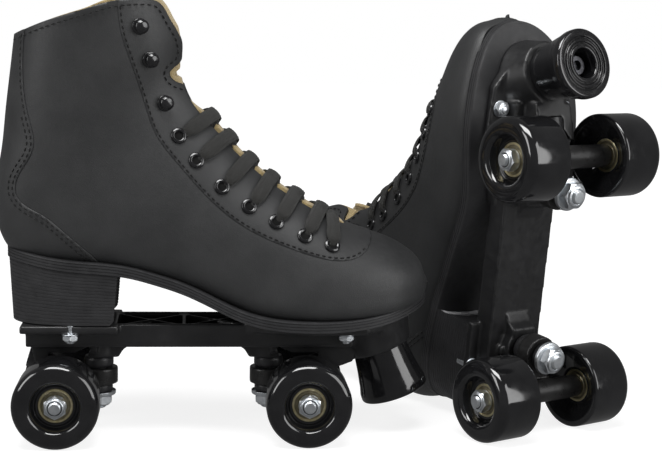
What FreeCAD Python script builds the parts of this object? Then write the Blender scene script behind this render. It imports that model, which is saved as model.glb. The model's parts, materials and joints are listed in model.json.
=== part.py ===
import FreeCAD, Part
import Sketcher
import math
import os
from FreeCAD import Placement, Rotation, Vector

# A pair of quad roller skates. Each skate is drawn in its own frame, in millimetres:
# origin on the floor midway between its two axles, +X to the toe, +Y to the wearer's left, +Z up.
# The right skate stands on its four wheels. The left one stands beside its toe on its rear
# wheels and its heel, toe up. The pair's origin is the middle of its footprint, on the floor.

SIZES = [
    # wheels and bearings
    ("wheel_diameter", 54), ("wheel_width", 32), ("wheel_shoulder", 7), ("wheel_inner_round", 2),
    ("wheel_web", 3), ("wheel_web_bore", 17), ("recess_mouth", 34), ("recess_floor", 29),
    ("recess_step", 1.2), ("cone_mouth", 48), ("cone_floor", 25),
    ("bearing_outside", 22), ("bearing_width", 7), ("bearing_bore", 8),
    ("outer_ring_inside", 18.5), ("inner_race_outside", 11.5), ("ball_diameter", 3.4),
    ("ball_count", 7), ("shield_thickness", 0.4), ("shield_inset", 0.3),
    ("fit_clearance", 0.05), ("seat_clearance", 0.02),
    # trucks
    ("wheel_base", 157), ("track", 80), ("axle_diameter", 8), ("axle_overhang", 1.5),
    ("spacer_width", 1), ("spacer_outside", 12), ("washer_thickness", 1), ("washer_outside", 13),
    ("axle_nut_flats", 13), ("axle_nut_height", 6.5),
    ("housing_diameter", 15), ("kingpin_setback", 23.5), ("ring_centre_rise", 9),
    ("ring_diameter", 24.5), ("ring_height", 10.5), ("ring_bore", 14), ("arm_width", 18),
    ("pivot_advance", 15), ("pivot_rise", 20), ("pivot_diameter", 9), ("post_width", 13),
    ("post_length", 11), ("cup_diameter", 15), ("cup_length", 9), ("cup_overlap", 2.7), ("post_drop", 1.5),
    ("kingpin_diameter", 9.5), ("kingpin_nut_flats", 16), ("kingpin_nut_height", 7),
    ("kingpin_head_height", 5), ("kingpin_end", 1.5), ("cushion_diameter", 19),
    ("cushion_gap", 0.3), ("upper_cushion_height", 7), ("lower_cushion_height", 6),
    ("cup_washer_diameter", 21), ("cup_washer_thickness", 1.6),
    # plate
    ("plate_top", 73), ("spine_width", 44), ("spine_height", 15), ("spine_wall", 3.5),
    ("boss_diameter", 25), ("flange_thickness", 5), ("heel_flange_width", 60),
    ("front_flange_width", 72), ("block_width", 30), ("block_bottom", 47), ("rib_thickness", 2.6),
    ("plate_bolt_diameter", 5), ("plate_bolt_spread", 54), ("plate_nut_flats", 9),
    ("plate_nut_height", 5), ("plate_bolt_tail", 1.5), ("front_bolt_x", 103), ("rear_bolt_x", -71),
    ("bolt_reach", 5), ("spine_rear", 21), ("spine_front", 30), ("heel_flange_rear", 24),
    ("heel_flange_front", 14), ("nose_reach", 68), ("nose_length", 7), ("nose_width", 30),
    ("shoulder_reach", 38), ("shoulder_width", 66), ("front_flange_start", 16),
    ("rear_block_top", 21), ("rear_block_foot", 14), ("front_block_top", 33), ("front_block_foot", 30),
    ("block_inner_reach", 8), ("block_drop", 8), ("block_step", 6), ("web_width", 20),
    ("web_foot", 13), ("web_knee", 16), ("web_head", 22), ("web_knee_rise", 5), ("web_overlap", 2),
    ("rib_drop", 1), ("swing_length", 30), ("swing_radius", 24), ("swing_margin", 1),
    # toe stop
    ("stop_x", 128), ("stop_z", 54), ("stop_lean", 20), ("stop_length", 32),
    ("stop_neck_diameter", 34), ("stop_face_diameter", 44.5), ("stop_rim", 2),
    ("stop_waist_swell", 0.6), ("stop_flare_step", 1.6), ("stop_ring_margin", 5), ("stop_ring_width", 1.5),
    ("stop_ring_spacing", 3.5), ("stop_recess_diameter", 19),
    ("stop_recess_depth", 13), ("stop_bolt_diameter", 8), ("stop_bolt_head", 13),
    ("stop_bolt_head_height", 6), ("stop_bolt_grip", 13), ("stop_ring_depth", 1.2),
    ("pedestal_diameter", 42), ("pedestal_flare", 6), ("pedestal_height", 24), ("stop_room", 60),
    # boot
    ("leather", 2.2), ("lining_wall", 2), ("layer_gap", 0.1), ("board", 2.5),
    ("insole_thickness", 4), ("outsole_thickness", 7), ("welt", 1.5), ("throat_width", 26),
    ("throat_depth", 16), ("lining_reveal", 3), ("lining_drop", 0.5), ("tongue_width", 56),
    ("tongue_wall", 4), ("tongue_rise", 5), ("tongue_drop", 6), ("heel_taper", 4), ("heel_hollow", 5),
    ("eyelet_diameter", 10), ("eyelet_bore", 5), ("eyelet_height", 1.6),
    ("hook_diameter", 10), ("hook_height", 6), ("hook_foot_height", 1.2), ("hook_stem_diameter", 4.5),
    ("hook_head_diameter", 9), ("hook_head_height", 2.2), ("lace_width", 7.5), ("lace_thickness", 1.4),
    ("lace_gap", 0.9), ("floor_gap", 0.1),
    # how the left skate stands beside the right one
    ("left_axle_x", 234), ("left_axle_y", -14), ("left_heading", -60),
]

doc = FreeCAD.newDocument("quad_skates")
sheet = doc.addObject("Spreadsheet::Sheet", "Sizes")
for row, (alias, number) in enumerate(SIZES, start=1):
    sheet.set("A%d" % row, alias)
    sheet.set("B%d" % row, str(number))
    sheet.setAlias("B%d" % row, alias)
doc.recompute()


def size(expression):
    """The number that an expression in the sheet's names stands for."""
    found = sheet.evalExpression(expression)
    return float(getattr(found, "Value", found))


def bound(expression):
    """The same expression written for another object, with each name read from the sheet."""
    words = []
    word = ""
    for letter in expression + " ":
        if letter.isalnum() or letter == "_":
            word += letter
            continue
        words.append("Sizes." + word if word in NAMES else word)
        words.append(letter)
        word = ""
    return "".join(words).strip()


NAMES = {alias for alias, number in SIZES}


# ---------------------------------------------------------------- parametric helpers

def origin_plane(body, role):
    """One of a body's own origin planes."""
    return next(item for item in body.Origin.OriginFeatures if item.Role == role)


def polygon_sketch(body, role, points):
    """A closed polygon on an origin plane, each corner tied to the sheet by expressions."""
    sketch = body.newObject("Sketcher::SketchObject", body.Name + "_profile")
    sketch.AttachmentSupport = (origin_plane(body, role), [""])
    sketch.MapMode = "FlatFace"
    corners = [Vector(size(across), size(along), 0) for across, along in points]
    for index, corner in enumerate(corners):
        sketch.addGeometry(Part.LineSegment(corner, corners[(index + 1) % len(corners)]))
    for index in range(len(corners)):
        sketch.addConstraint(Sketcher.Constraint("Coincident", index, 2, (index + 1) % len(corners), 1))
    for index, (across, along) in enumerate(points):
        for kind, expression, start in (("DistanceX", across, corners[index].x),
                                        ("DistanceY", along, corners[index].y)):
            number = sketch.addConstraint(Sketcher.Constraint(kind, -1, 1, index, 1, start))
            sketch.setExpression("Constraints[%d]" % number, bound(expression))
    return sketch


def turned(name, points):
    """A body turned about its own Y axis from corners given as (radius, distance along Y)."""
    body = doc.addObject("PartDesign::Body", name)
    sketch = polygon_sketch(body, "XY_Plane", points)
    feature = body.newObject("PartDesign::Revolution", name + "_turned")
    feature.Profile = sketch
    feature.ReferenceAxis = (sketch, ["V_Axis"])
    feature.Angle = 360
    doc.recompute()
    return body


def extruded(name, role, points, length):
    """A body padded both ways from an origin plane, as thick as the length says."""
    body = doc.addObject("PartDesign::Body", name)
    sketch = polygon_sketch(body, role, points)
    feature = body.newObject("PartDesign::Pad", name + "_pad")
    feature.Profile = sketch
    feature.Midplane = True
    feature.setExpression("Length", bound(length))
    doc.recompute()
    return body


def rounded(body, name, radius, chosen):
    """Rounds the edges of a body that the test picks out."""
    base = body.Tip
    edges = ["Edge%d" % number for number, edge in enumerate(base.Shape.Edges, start=1) if chosen(edge)]
    feature = body.newObject("PartDesign::Fillet", name)
    feature.Base = (base, edges)
    feature.setExpression("Radius", bound(radius))
    doc.recompute()
    return body


def primitive(kind, name, turn=None, at=("0", "0", "0"), **sizes):
    """A Part primitive whose sizes and position are expressions in the sheet's names."""
    item = doc.addObject("Part::" + kind, name)
    if turn is not None:
        item.Placement = Placement(Vector(), turn)
    for axis, expression in zip("xyz", at):
        item.setExpression("Placement.Base." + axis, bound(expression))
    for prop, expression in sizes.items():
        item.setExpression(prop, bound(expression))
    return item


def fused(name, pieces):
    """One solid made of several overlapping pieces."""
    item = doc.addObject("Part::MultiFuse", name)
    item.Shapes = pieces
    item.Refine = True
    return item


def cut(name, base, tool):
    """The base with the tool taken away."""
    item = doc.addObject("Part::Cut", name)
    item.Base = base
    item.Tool = tool
    return item


def group(name, pieces):
    """Several separate solids that stay together."""
    item = doc.addObject("Part::Compound", name)
    item.Links = pieces
    return item


def fixed(name, shape):
    """A shape worked out in code, as an object of the document."""
    item = doc.addObject("Part::Feature", name)
    item.Shape = shape
    return item


UPRIGHT = Rotation()
ALONG_Y = Rotation(Vector(1, 0, 0), -90)
HALF_TURN = Rotation(Vector(0, 0, 1), 180)


# ---------------------------------------------------------------- the boot's shape

# The sole line: where the upper meets the outsole, seen from the side, heel to toe.
SOLE_LINE = [(-130, 123), (-107, 120), (-80, 115.5), (-57, 113.5), (-35, 111), (-19, 107), (0, 101),
             (19, 92.5), (36, 85), (55, 80.5), (75, 79), (95, 79), (115, 80.5), (132, 83.5),
             (147, 88), (170, 97)]

# The outsole's outline from above, right foot: heel, inner side, toe, outer side.
SOLE_OUTLINE = [(-112, 0), (-107, 16), (-94, 26), (-75, 31), (-40, 29.5), (0, 30), (35, 36.5),
                (65, 43.5), (90, 46.5), (115, 44.5), (135, 37.5), (150, 25), (157, 7),
                (153.5, -12), (143, -26), (125, -38), (100, -45.5), (70, -47.5), (35, -43),
                (0, -37), (-40, -33), (-75, -32), (-94, -26.5), (-107, -16)]

# Half of the heel block's outline from above at its top, back to front.
HEEL_OUTLINE = [(-111.5, 0), (-106.5, 16), (-94, 26.5), (-75, 31.5), (-41, 30.5)]

# Rings round the boot, toe to cuff. Each lies in a plane across the boot, from its front or top
# point (x, z) to its sole or back point (x, z), with half its width, where the width is greatest
# as a share of the way up from the sole or back, the middle's shift to the inner side, and how
# square the ring is at the sole or back.
RINGS = [
    (156.5, 103, 156.5, 89, 11, 0.45, 6, 2.2),
    (153.5, 110.5, 153.5, 84, 20, 0.42, 5, 2.5),
    (147, 118, 147, 80, 29, 0.38, 4, 2.8),
    (136, 125, 136, 77, 36.5, 0.34, 2.5, 3.2),
    (120, 131, 120, 75, 42, 0.32, 1.5, 3.6),
    (102, 137, 100, 74, 45.5, 0.31, 0.5, 3.8),
    (83, 146.5, 76, 74, 45, 0.31, -1, 3.8),
    (64, 158, 50, 76, 41.5, 0.34, -2, 3.6),
    (46, 171.5, 22, 86, 37, 0.38, -3, 3.4),
    (32, 185, -8, 98, 34.5, 0.42, -3, 3.2),
    (20, 199, -42, 106, 33.5, 0.44, -2, 3.2),
    (11, 210, -77, 109, 33.5, 0.46, -1, 3),
    (5, 220, -106, 115, 34, 0.48, 0, 2.6),
    (1.5, 229, -118.5, 138, 34.5, 0.5, 0, 2.3),
    (0, 238, -118.8, 160, 36, 0.5, 0, 2.2),
    (0, 248, -115, 182, 38, 0.5, 0, 2.2),
    (-1, 258, -112.3, 206, 40, 0.5, 0, 2.2),
    (-4, 268, -110.6, 231, 42, 0.5, 0, 2.2),
    (-8, 278, -109.8, 254, 43.5, 0.5, 0, 2.2),
    (-11, 292, -108.5, 280, 44.5, 0.5, 0, 2.2),
]

# The cuff's edge from the back to the front, then down the front lobes to the top eyelet.
CUFF_LINE = [(-140, 247), (-108.5, 257.5), (-82, 266.6), (-59, 272.4), (-45, 276), (-27, 278.4),
             (-17, 275), (-10, 265), (-4, 254.5), (-2, 244), (-4, 238), (-10, 231.5), (-7, 227),
             (1.5, 223.4), (8, 215), (13, 208), (40, 200)]

# Eyelets and hooks on the outer side, seen from the side.
EYELETS = [(-4, 193), (7, 178), (23, 162), (40, 150), (57, 140.5), (75, 132), (92, 126)]
HOOKS = [(-28, 260), (-22, 240), (-13, 213)]

# The front of the boot where the tongue shows, cuff to vamp, seen from the side.
THROAT_LINE = [(-14, 300), (-8, 278), (-1, 258), (0, 238), (5, 220), (20, 199), (46, 171.5),
               (83, 146.5), (104, 136.5)]

RING_POINTS = 24
FRONT_SQUARENESS = 2.2
SHIFT_FADE = 0.6
LACE_STEPS = 12

# Planes outside the boot, for pieces that cut it.
BOOT_SIDE = 70
BOOT_CEILING = 340
BOOT_BACK = -140
BOOT_FRONT = 200
BOOT_CLEAR = 25
SOLE_FLOOR = 60
SOLE_CEILING = 140
HEEL_CEILING = 125


def smooth(points, shift=0.0):
    """A smooth line through side-view points, moved up by the shift."""
    curve = Part.BSplineCurve()
    curve.interpolate([Vector(x, 0, z + shift) for x, z in points])
    return curve.toShape()


def ring(entry, inset):
    """A closed ring round the boot, drawn in by the inset."""
    front_x, front_z, back_x, back_z, half_width, share, shift, square = entry
    front = Vector(front_x, 0, front_z)
    back = Vector(back_x, 0, back_z)
    way = (front - back).normalize()
    front = front - way * inset
    back = back + way * inset
    length = (front - back).Length
    wide = half_width - inset
    middle = back + way * (length * share)
    points = []
    for step in range(RING_POINTS):
        angle = 2 * math.pi * step / RING_POINTS
        rise = math.cos(angle)
        aside = math.sin(angle)
        power = 2 / (FRONT_SQUARENESS if rise > 0 else square)
        reach = length * (1 - share) if rise > 0 else length * share
        along = math.copysign(abs(rise) ** power, rise) * reach
        across = math.copysign(abs(aside) ** power, aside) * wide
        sideways = shift * (1 - SHIFT_FADE * max(rise, 0))
        points.append(middle + way * along + Vector(0, sideways + across, 0))
    curve = Part.BSplineCurve()
    curve.interpolate(points, PeriodicFlag=True)
    return Part.Wire(curve.toShape())


def boot_form(inset):
    """The whole boot as a solid, its surface drawn in by the inset."""
    entries = [list(entry) for entry in RINGS]
    entries[0][0] -= inset
    entries[0][2] -= inset
    return Part.makeLoft([ring(entry, inset) for entry in entries], True, False)


def side_prism(wire_edges, half_width=BOOT_SIDE):
    """A side-view outline drawn out to both sides."""
    face = Part.Face(Part.Wire(wire_edges))
    face.translate(Vector(0, -half_width, 0))
    return face.extrude(Vector(0, 2 * half_width, 0))


def over_sole(shift, ceiling=BOOT_CEILING):
    """All that lies above the sole line moved up by the shift."""
    line = smooth(SOLE_LINE, shift)
    start = Vector(SOLE_LINE[0][0], 0, SOLE_LINE[0][1] + shift)
    end = Vector(SOLE_LINE[-1][0], 0, SOLE_LINE[-1][1] + shift)
    high_end = Vector(end.x, 0, ceiling)
    high_start = Vector(start.x, 0, ceiling)
    return side_prism([line, Part.makeLine(end, high_end), Part.makeLine(high_end, high_start),
                       Part.makeLine(high_start, start)])


def past_cuff(drop=0.0):
    """All that lies above the cuff's edge moved down by the drop."""
    points = [Vector(x, 0, z - drop) for x, z in CUFF_LINE]
    points += [Vector(BOOT_FRONT, 0, points[-1].z), Vector(BOOT_FRONT, 0, BOOT_CEILING),
               Vector(BOOT_BACK, 0, BOOT_CEILING), points[0]]
    return side_prism([Part.makePolygon(points).Edges[i] for i in range(len(points) - 1)])


def front_band(outward, inward, half_width, first=0, last=None):
    """A band that follows the throat line, from outside the boot to the given depth inside."""
    line = THROAT_LINE[first:last]
    outside = []
    inside = []
    for index, (x, z) in enumerate(line):
        ahead = line[min(index + 1, len(line) - 1)]
        behind = line[max(index - 1, 0)]
        run = Vector(ahead[0] - behind[0], 0, ahead[1] - behind[1]).normalize()
        away = Vector(-run.z, 0, run.x)
        outside.append(Vector(x, 0, z) + away * outward)
        inside.append(Vector(x, 0, z) - away * inward)
    points = outside + inside[::-1] + [outside[0]]
    return side_prism([Part.makePolygon(points).Edges[i] for i in range(len(points) - 1)], half_width)


def outline_prism(grow, bottom, top):
    """The sole's outline, grown by a margin, as an upright prism."""
    middle = Vector(15, 0, 0)
    points = []
    for x, y in SOLE_OUTLINE:
        point = Vector(x, y, bottom)
        out = Vector(x - middle.x if abs(x) > 90 else 0, y, 0).normalize()
        points.append(point + out * grow)
    curve = Part.BSplineCurve()
    curve.interpolate(points, PeriodicFlag=True)
    face = Part.Face(Part.Wire(curve.toShape()))
    return face.extrude(Vector(0, 0, top - bottom))


def boot_surface(form):
    """The face of the boot's form that its rings make."""
    return max(form.Faces, key=lambda face: face.Area).Surface


def surface_point(skin, x, z, side):
    """Where a line across the boot at (x, z) leaves its surface, and the outward normal there."""
    line = Part.Line(Vector(x, 0, z), Vector(x, side, z))
    points = [Vector(point.X, point.Y, point.Z) for point in line.intersectCS(skin)[0]]
    spot = max(points, key=lambda point: point.y * side)
    return spot, outward(skin, *skin.parameter(spot))


def outward(skin, around, along):
    """The skin's normal at a place on it, pointing out of the boot."""
    normal = skin.normal(around, along)
    probe = skin.value(around, along)
    inside = Vector(probe.x - 20, 0, probe.z - 20)
    return normal if normal.dot(probe - inside) > 0 else normal * -1


def strap(path, ways, width, thickness):
    """A flat strap along a path: each stop has a point under it and the way that faces out."""
    frames = []
    for index, (point, out) in enumerate(zip(path, ways)):
        ahead = path[min(index + 1, len(path) - 1)]
        behind = path[max(index - 1, 0)]
        run = (ahead - behind).normalize()
        aside = run.cross(out).normalize() * (width / 2)
        lift = aside.cross(run).normalize() * thickness
        if lift.dot(out) < 0:
            lift = lift * -1
        corners = [point - aside, point + aside, point + aside + lift, point - aside + lift]
        frames.append(Part.makePolygon(corners + [corners[0]]))
    return Part.makeLoft(frames, True, True)


def boot_shapes():
    """The right boot's soft pieces, each a closed solid."""
    leather = size("leather")
    gap = size("layer_gap")
    lining = size("lining_wall")
    board = size("board")
    outer = boot_form(0)
    above_sole = over_sole(0)
    above_cuff = past_cuff()
    throat = front_band(BOOT_CLEAR, size("throat_depth"), size("throat_width") / 2)

    cavity = boot_form(leather).common(over_sole(board))
    upper = outer.common(above_sole).cut([cavity, above_cuff, throat])

    lining_outside = boot_form(leather + gap).common(over_sole(board + gap))
    lining_inside = boot_form(leather + gap + lining).common(over_sole(board + gap + lining))
    lining_throat = front_band(BOOT_CLEAR, size("throat_depth + tongue_wall"),
                               size("throat_width / 2 - lining_reveal"))
    lining_shape = lining_outside.cut([lining_inside, past_cuff(size("lining_drop")), lining_throat])

    step = leather + 2 * gap + lining
    foot_space = boot_form(step).common(over_sole(board + 2 * gap + lining))
    insole_top = over_sole(board + 2 * gap + lining + size("insole_thickness"))
    insole = foot_space.cut(insole_top)

    tongue_band = front_band(size("tongue_rise"), step + size("tongue_wall"), size("tongue_width") / 2, 2)
    tongue = boot_form(step).common(tongue_band).cut(past_cuff(size("tongue_drop")))
    return outer, {"upper": upper, "lining": lining_shape, "insole": insole, "tongue": tongue}


def largest_solid(shape):
    """The main solid of a cut, without its loose crumbs."""
    return max(shape.Solids, key=lambda solid: solid.Volume)


def outsole_shape():
    """The outsole: the sole's outline between the sole line and the same line lower down."""
    top = over_sole(0)
    bottom = over_sole(-size("outsole_thickness"))
    return outline_prism(size("welt"), SOLE_FLOOR, SOLE_CEILING).common(bottom).cut(top)


def heel_shape():
    """The heel block, narrower at its foot, cut off by the outsole above it."""
    rings = []
    for level, draw_in in ((size("plate_top"), size("heel_taper")), (HEEL_CEILING, 0)):
        front = HEEL_OUTLINE[-1][0] - draw_in / 2
        back, *rest = HEEL_OUTLINE
        inner = [Vector(back[0] + draw_in, 0, level)]
        inner += [Vector(x + draw_in / 2, y - draw_in / 2, level) for x, y in rest]
        inner[-1].x = front
        outer = [Vector(point.x, -point.y, level) for point in inner]
        curve = Part.BSplineCurve()
        curve.interpolate(inner[::-1] + outer[1:])
        arch = Part.Arc(outer[-1], Vector(front - size("heel_hollow"), 0, level), inner[-1]).toShape()
        rings.append(Part.Wire([curve.toShape(), arch]))
    block = Part.makeLoft(rings, True, True)
    return block.cut(over_sole(-size("outsole_thickness")))


def stud_frame(point, normal):
    """A placement whose +Z is the surface's outward normal."""
    return Placement(point, Rotation(Vector(0, 0, 1), normal))


def eyelet_shapes(skin):
    """A ring on the leather at each eyelet, both sides."""
    rings = []
    for x, z in EYELETS:
        for side in (-1, 1):
            point, normal = surface_point(skin, x, z, side)
            tube = Part.makeCylinder(size("eyelet_diameter") / 2, size("eyelet_height"))
            tube = tube.cut(Part.makeCylinder(size("eyelet_bore") / 2, size("eyelet_height")))
            tube.Placement = stud_frame(point + normal * size("layer_gap"), normal)
            rings.append(tube)
    return Part.makeCompound(rings)


def hook_shapes(skin):
    """A domed hook at each place beside the cuff's front edge, both sides."""
    hooks = []
    height = size("hook_height")
    head_height = size("hook_head_height")
    for x, z in HOOKS:
        for side in (-1, 1):
            point, normal = surface_point(skin, x, z, side)
            foot = Part.makeCylinder(size("hook_diameter / 2"), size("hook_foot_height"))
            stem = Part.makeCylinder(size("hook_stem_diameter / 2"), height)
            head = Part.makeCylinder(size("hook_head_diameter / 2"), head_height)
            head.translate(Vector(0, 0, height - head_height))
            hook = foot.fuse([stem, head]).removeSplitter()
            hook.Placement = stud_frame(point + normal * size("layer_gap"), normal)
            hooks.append(hook)
    return Part.makeCompound(hooks)


def lace_shapes(skin):
    """The lace: a bar across the lowest eyelets, then one strap up and over to each next eyelet."""
    lift = size("eyelet_height") + size("layer_gap") + size("lace_gap")
    thickness = size("lace_thickness")
    period = skin.bounds()[1] - skin.bounds()[0]
    spots = {}
    for index, (x, z) in enumerate(EYELETS):
        for side in (-1, 1):
            around, along = skin.parameter(surface_point(skin, x, z, side)[0])
            spots[index, side] = (around - period if around > period / 2 else around, along)
    lowest = len(EYELETS) - 1
    runs = [((lowest, -1), (lowest, 1), 0.0)]
    for index in range(lowest):
        runs.append(((index + 1, 1), (index, -1), 0.0))
        runs.append(((index + 1, -1), (index, 1), thickness + size("lace_gap")))
    straps = []
    for first, last, extra in runs:
        path = []
        ways = []
        for step in range(LACE_STEPS + 1):
            share = step / LACE_STEPS
            around = spots[first][0] * (1 - share) + spots[last][0] * share
            along = spots[first][1] * (1 - share) + spots[last][1] * share
            way = outward(skin, around % period, along)
            path.append(skin.value(around % period, along) + way * (lift + extra * math.sin(math.pi * share)))
            ways.append(way)
        straps.append(strap(path, ways, size("lace_width"), thickness))
    return Part.makeCompound(straps)


# ---------------------------------------------------------------- wheels and trucks

TOUCH = 0.01


def wheel_body(name):
    """A wheel turned about Y, its outboard face towards +Y."""
    half = "wheel_width / 2"
    seat = "wheel_web / 2 + bearing_width"
    body = turned(name, [
        ("wheel_web_bore / 2", "-wheel_web / 2"),
        ("bearing_outside / 2", "-wheel_web / 2"),
        ("bearing_outside / 2", "-(%s)" % seat),
        ("cone_floor / 2", "-(%s)" % seat),
        ("cone_mouth / 2", "-" + half),
        ("wheel_diameter / 2", "-" + half),
        ("wheel_diameter / 2", half),
        ("recess_mouth / 2", half),
        ("recess_floor / 2", seat + " + recess_step"),
        ("bearing_outside / 2 + 1", seat),
        ("bearing_outside / 2", seat),
        ("bearing_outside / 2", "wheel_web / 2"),
        ("wheel_web_bore / 2", "wheel_web / 2"),
    ])
    rim = size("wheel_diameter / 2")

    def at_rim(edge, level):
        box = edge.BoundBox
        return max(abs(box.XMax - rim), abs(box.YMin - level), abs(box.YMax - level)) < TOUCH

    rounded(body, name + "_shoulder", "wheel_shoulder", lambda edge: at_rim(edge, size(half)))
    rounded(body, name + "_inner_round", "wheel_inner_round", lambda edge: at_rim(edge, -size(half)))
    return body


def bearing_places():
    """The middle of the inboard and outboard bearing along the wheel's axis."""
    return ("-(wheel_web + bearing_width) / 2", "(wheel_web + bearing_width) / 2")


def bearing_pieces(name):
    """The rings, shields and balls that turn with a wheel, in the wheel's frame."""
    pieces = []
    for number, place in enumerate(bearing_places()):
        label = "%s_%d" % (name, number)
        ring_body = turned(label + "_ring", [
            ("outer_ring_inside / 2", place + " - bearing_width / 2"),
            ("bearing_outside / 2 - seat_clearance", place + " - bearing_width / 2"),
            ("bearing_outside / 2 - seat_clearance", place + " + bearing_width / 2"),
            ("outer_ring_inside / 2", place + " + bearing_width / 2"),
        ])
        pieces.append(ring_body)
        for sign in ("-", "+"):
            edge = "%s %s (bearing_width / 2 - shield_inset)" % (place, sign)
            inner_edge = "%s %s (bearing_width / 2 - shield_inset - shield_thickness)" % (place, sign)
            pieces.append(turned(label + "_shield", [
                ("inner_race_outside / 2 + fit_clearance", edge),
                ("outer_ring_inside / 2", edge),
                ("outer_ring_inside / 2", inner_edge),
                ("inner_race_outside / 2 + fit_clearance", inner_edge),
            ]))
        pitch = "(outer_ring_inside + inner_race_outside) / 4"
        for index in range(int(size("ball_count"))):
            angle = "360deg / ball_count * %d" % index
            pieces.append(primitive("Sphere", label + "_ball", at=(
                "%s * cos(%s)" % (pitch, angle), place, "%s * sin(%s)" % (pitch, angle)),
                Radius="ball_diameter / 2"))
    return pieces


AXLE_ENDS = [("front", 1), ("rear", -1)]


def race_pieces(name, end):
    """The four inner races on one axle, in the skate's frame."""
    pieces = []
    for side in (-1, 1):
        for place in bearing_places():
            race = turned(name + "_race", [
                ("bearing_bore / 2 + seat_clearance", place + " - bearing_width / 2"),
                ("inner_race_outside / 2", place + " - bearing_width / 2"),
                ("inner_race_outside / 2", place + " + bearing_width / 2"),
                ("bearing_bore / 2 + seat_clearance", place + " + bearing_width / 2"),
            ])
            move_to_wheel(race, end, side)
            pieces.append(race)
    return pieces


def move_to_wheel(item, end, side):
    """Puts a piece drawn in a wheel's frame at one corner of the skate."""
    item.Placement = Placement(Vector(), Rotation() if side > 0 else HALF_TURN)
    item.setExpression("Placement.Base.x", bound("%d * wheel_base / 2" % end))
    item.setExpression("Placement.Base.y", bound("%d * track / 2" % side))
    item.setExpression("Placement.Base.z", bound("wheel_diameter / 2"))


def hexagon(name, flats, height, at, turn=UPRIGHT):
    """A hexagonal prism, its axis turned from +Z."""
    return primitive("Prism", name, turn, at, Circumradius="(%s) / 2 / cos(30deg)" % flats, Height=height)


def axle_pieces(name, end):
    """An axle with its spacers, washers and nuts, in the skate's frame."""
    x = "%d * wheel_base / 2" % end
    z = "wheel_diameter / 2"
    bearing_end = "wheel_web / 2 + bearing_width"
    reach = "(track / 2 + %s + washer_thickness + axle_nut_height + axle_overhang)" % bearing_end
    pieces = [primitive("Cylinder", name + "_shaft", ALONG_Y, (x, "-" + reach, z),
                        Radius="axle_diameter / 2", Height="2 * " + reach)]
    for side in (-1, 1):
        turn = ALONG_Y if side > 0 else ALONG_Y.multiply(Rotation(Vector(1, 0, 0), 180))
        stops = [("spacer", "(track / 2 - (%s) - spacer_width)" % bearing_end),
                 ("washer", "(track / 2 + %s)" % bearing_end)]
        for kind, start in stops:
            at = (x, "%d * %s" % (side, start), z)
            thickness = "spacer_width" if kind == "spacer" else "washer_thickness"
            solid = primitive("Cylinder", name + "_" + kind, turn, at,
                              Radius=kind + "_outside / 2", Height=thickness)
            hole = primitive("Cylinder", name + "_hole", turn, at,
                             Radius="axle_diameter / 2 + seat_clearance", Height=thickness)
            pieces.append(cut(name + "_" + kind + "_ring", solid, hole))
        start = "(track / 2 + %s + washer_thickness)" % bearing_end
        at = (x, "%d * %s" % (side, start), z)
        nut = hexagon(name + "_nut", "axle_nut_flats", "axle_nut_height", at, turn)
        hole = primitive("Cylinder", name + "_nut_hole", turn, at,
                         Radius="axle_diameter / 2 + seat_clearance", Height="axle_nut_height")
        pieces.append(cut(name + "_lock_nut", nut, hole))
    return pieces


def pivot_rotation(end):
    """Turns +Z onto the steering axis, from the kingpin's ring to the pivot."""
    run = size("kingpin_setback + pivot_advance")
    rise = size("pivot_rise - ring_centre_rise")
    return Rotation(Vector(0, 0, 1), Vector(end * run, 0, rise))


def truck_solid(name, end):
    """The hanger: axle housing, arm, kingpin ring, post and pivot pin, as one casting."""
    axle_x = "%d * wheel_base / 2" % end
    axle_z = "wheel_diameter / 2"
    bearing_end = "wheel_web / 2 + bearing_width"
    half = "(track / 2 - (%s) - spacer_width)" % bearing_end
    ring_x = "%d * (wheel_base / 2 - kingpin_setback)" % end
    ring_z = "wheel_diameter / 2 + ring_centre_rise - ring_height / 2"
    housing = primitive("Cylinder", name + "_housing", ALONG_Y, (axle_x, "-" + half, axle_z),
                        Radius="housing_diameter / 2", Height="2 * " + half)
    ring_disc = primitive("Cylinder", name + "_ring", UPRIGHT, (ring_x, "0", ring_z),
                          Radius="ring_diameter / 2", Height="ring_height")
    low_x = axle_x if end < 0 else ring_x
    arm = primitive("Box", name + "_arm", UPRIGHT, (low_x, "-arm_width / 2", ring_z),
                    Length="kingpin_setback", Width="arm_width", Height="ring_height")
    post = primitive("Box", name + "_post", UPRIGHT,
                     (axle_x + " - post_length / 2", "-post_width / 2", axle_z),
                     Length="post_length", Width="post_width", Height="pivot_rise - post_drop")
    pivot_x = "%d * (wheel_base / 2 + pivot_advance)" % end
    pivot_z = "wheel_diameter / 2 + pivot_rise"
    ball = primitive("Sphere", name + "_pivot_ball", None, (pivot_x, "0", pivot_z),
                     Radius="pivot_diameter / 2 - fit_clearance")
    turn = pivot_rotation(end)
    way = turn.multVec(Vector(0, 0, 1))
    pin = primitive("Cylinder", name + "_pivot_pin", turn,
                    (pivot_x + " - %.6f * pivot_advance" % way.x, "0",
                     pivot_z + " - %.6f * pivot_advance" % way.z),
                    Radius="pivot_diameter / 2 - fit_clearance", Height="pivot_advance")
    casting = fused(name + "_casting", [housing, ring_disc, arm, post, ball, pin])
    kingpin_hole = primitive("Cylinder", name + "_kingpin_hole", UPRIGHT, (ring_x, "0", ring_z + " - 1"),
                             Radius="ring_bore / 2", Height="ring_height + 2")
    axle_hole = primitive("Cylinder", name + "_axle_hole", ALONG_Y, (axle_x, "-track / 2", axle_z),
                          Radius="axle_diameter / 2 + seat_clearance", Height="track")
    return cut(name + "_hanger", casting, fused(name + "_holes", [kingpin_hole, axle_hole]))


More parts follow.
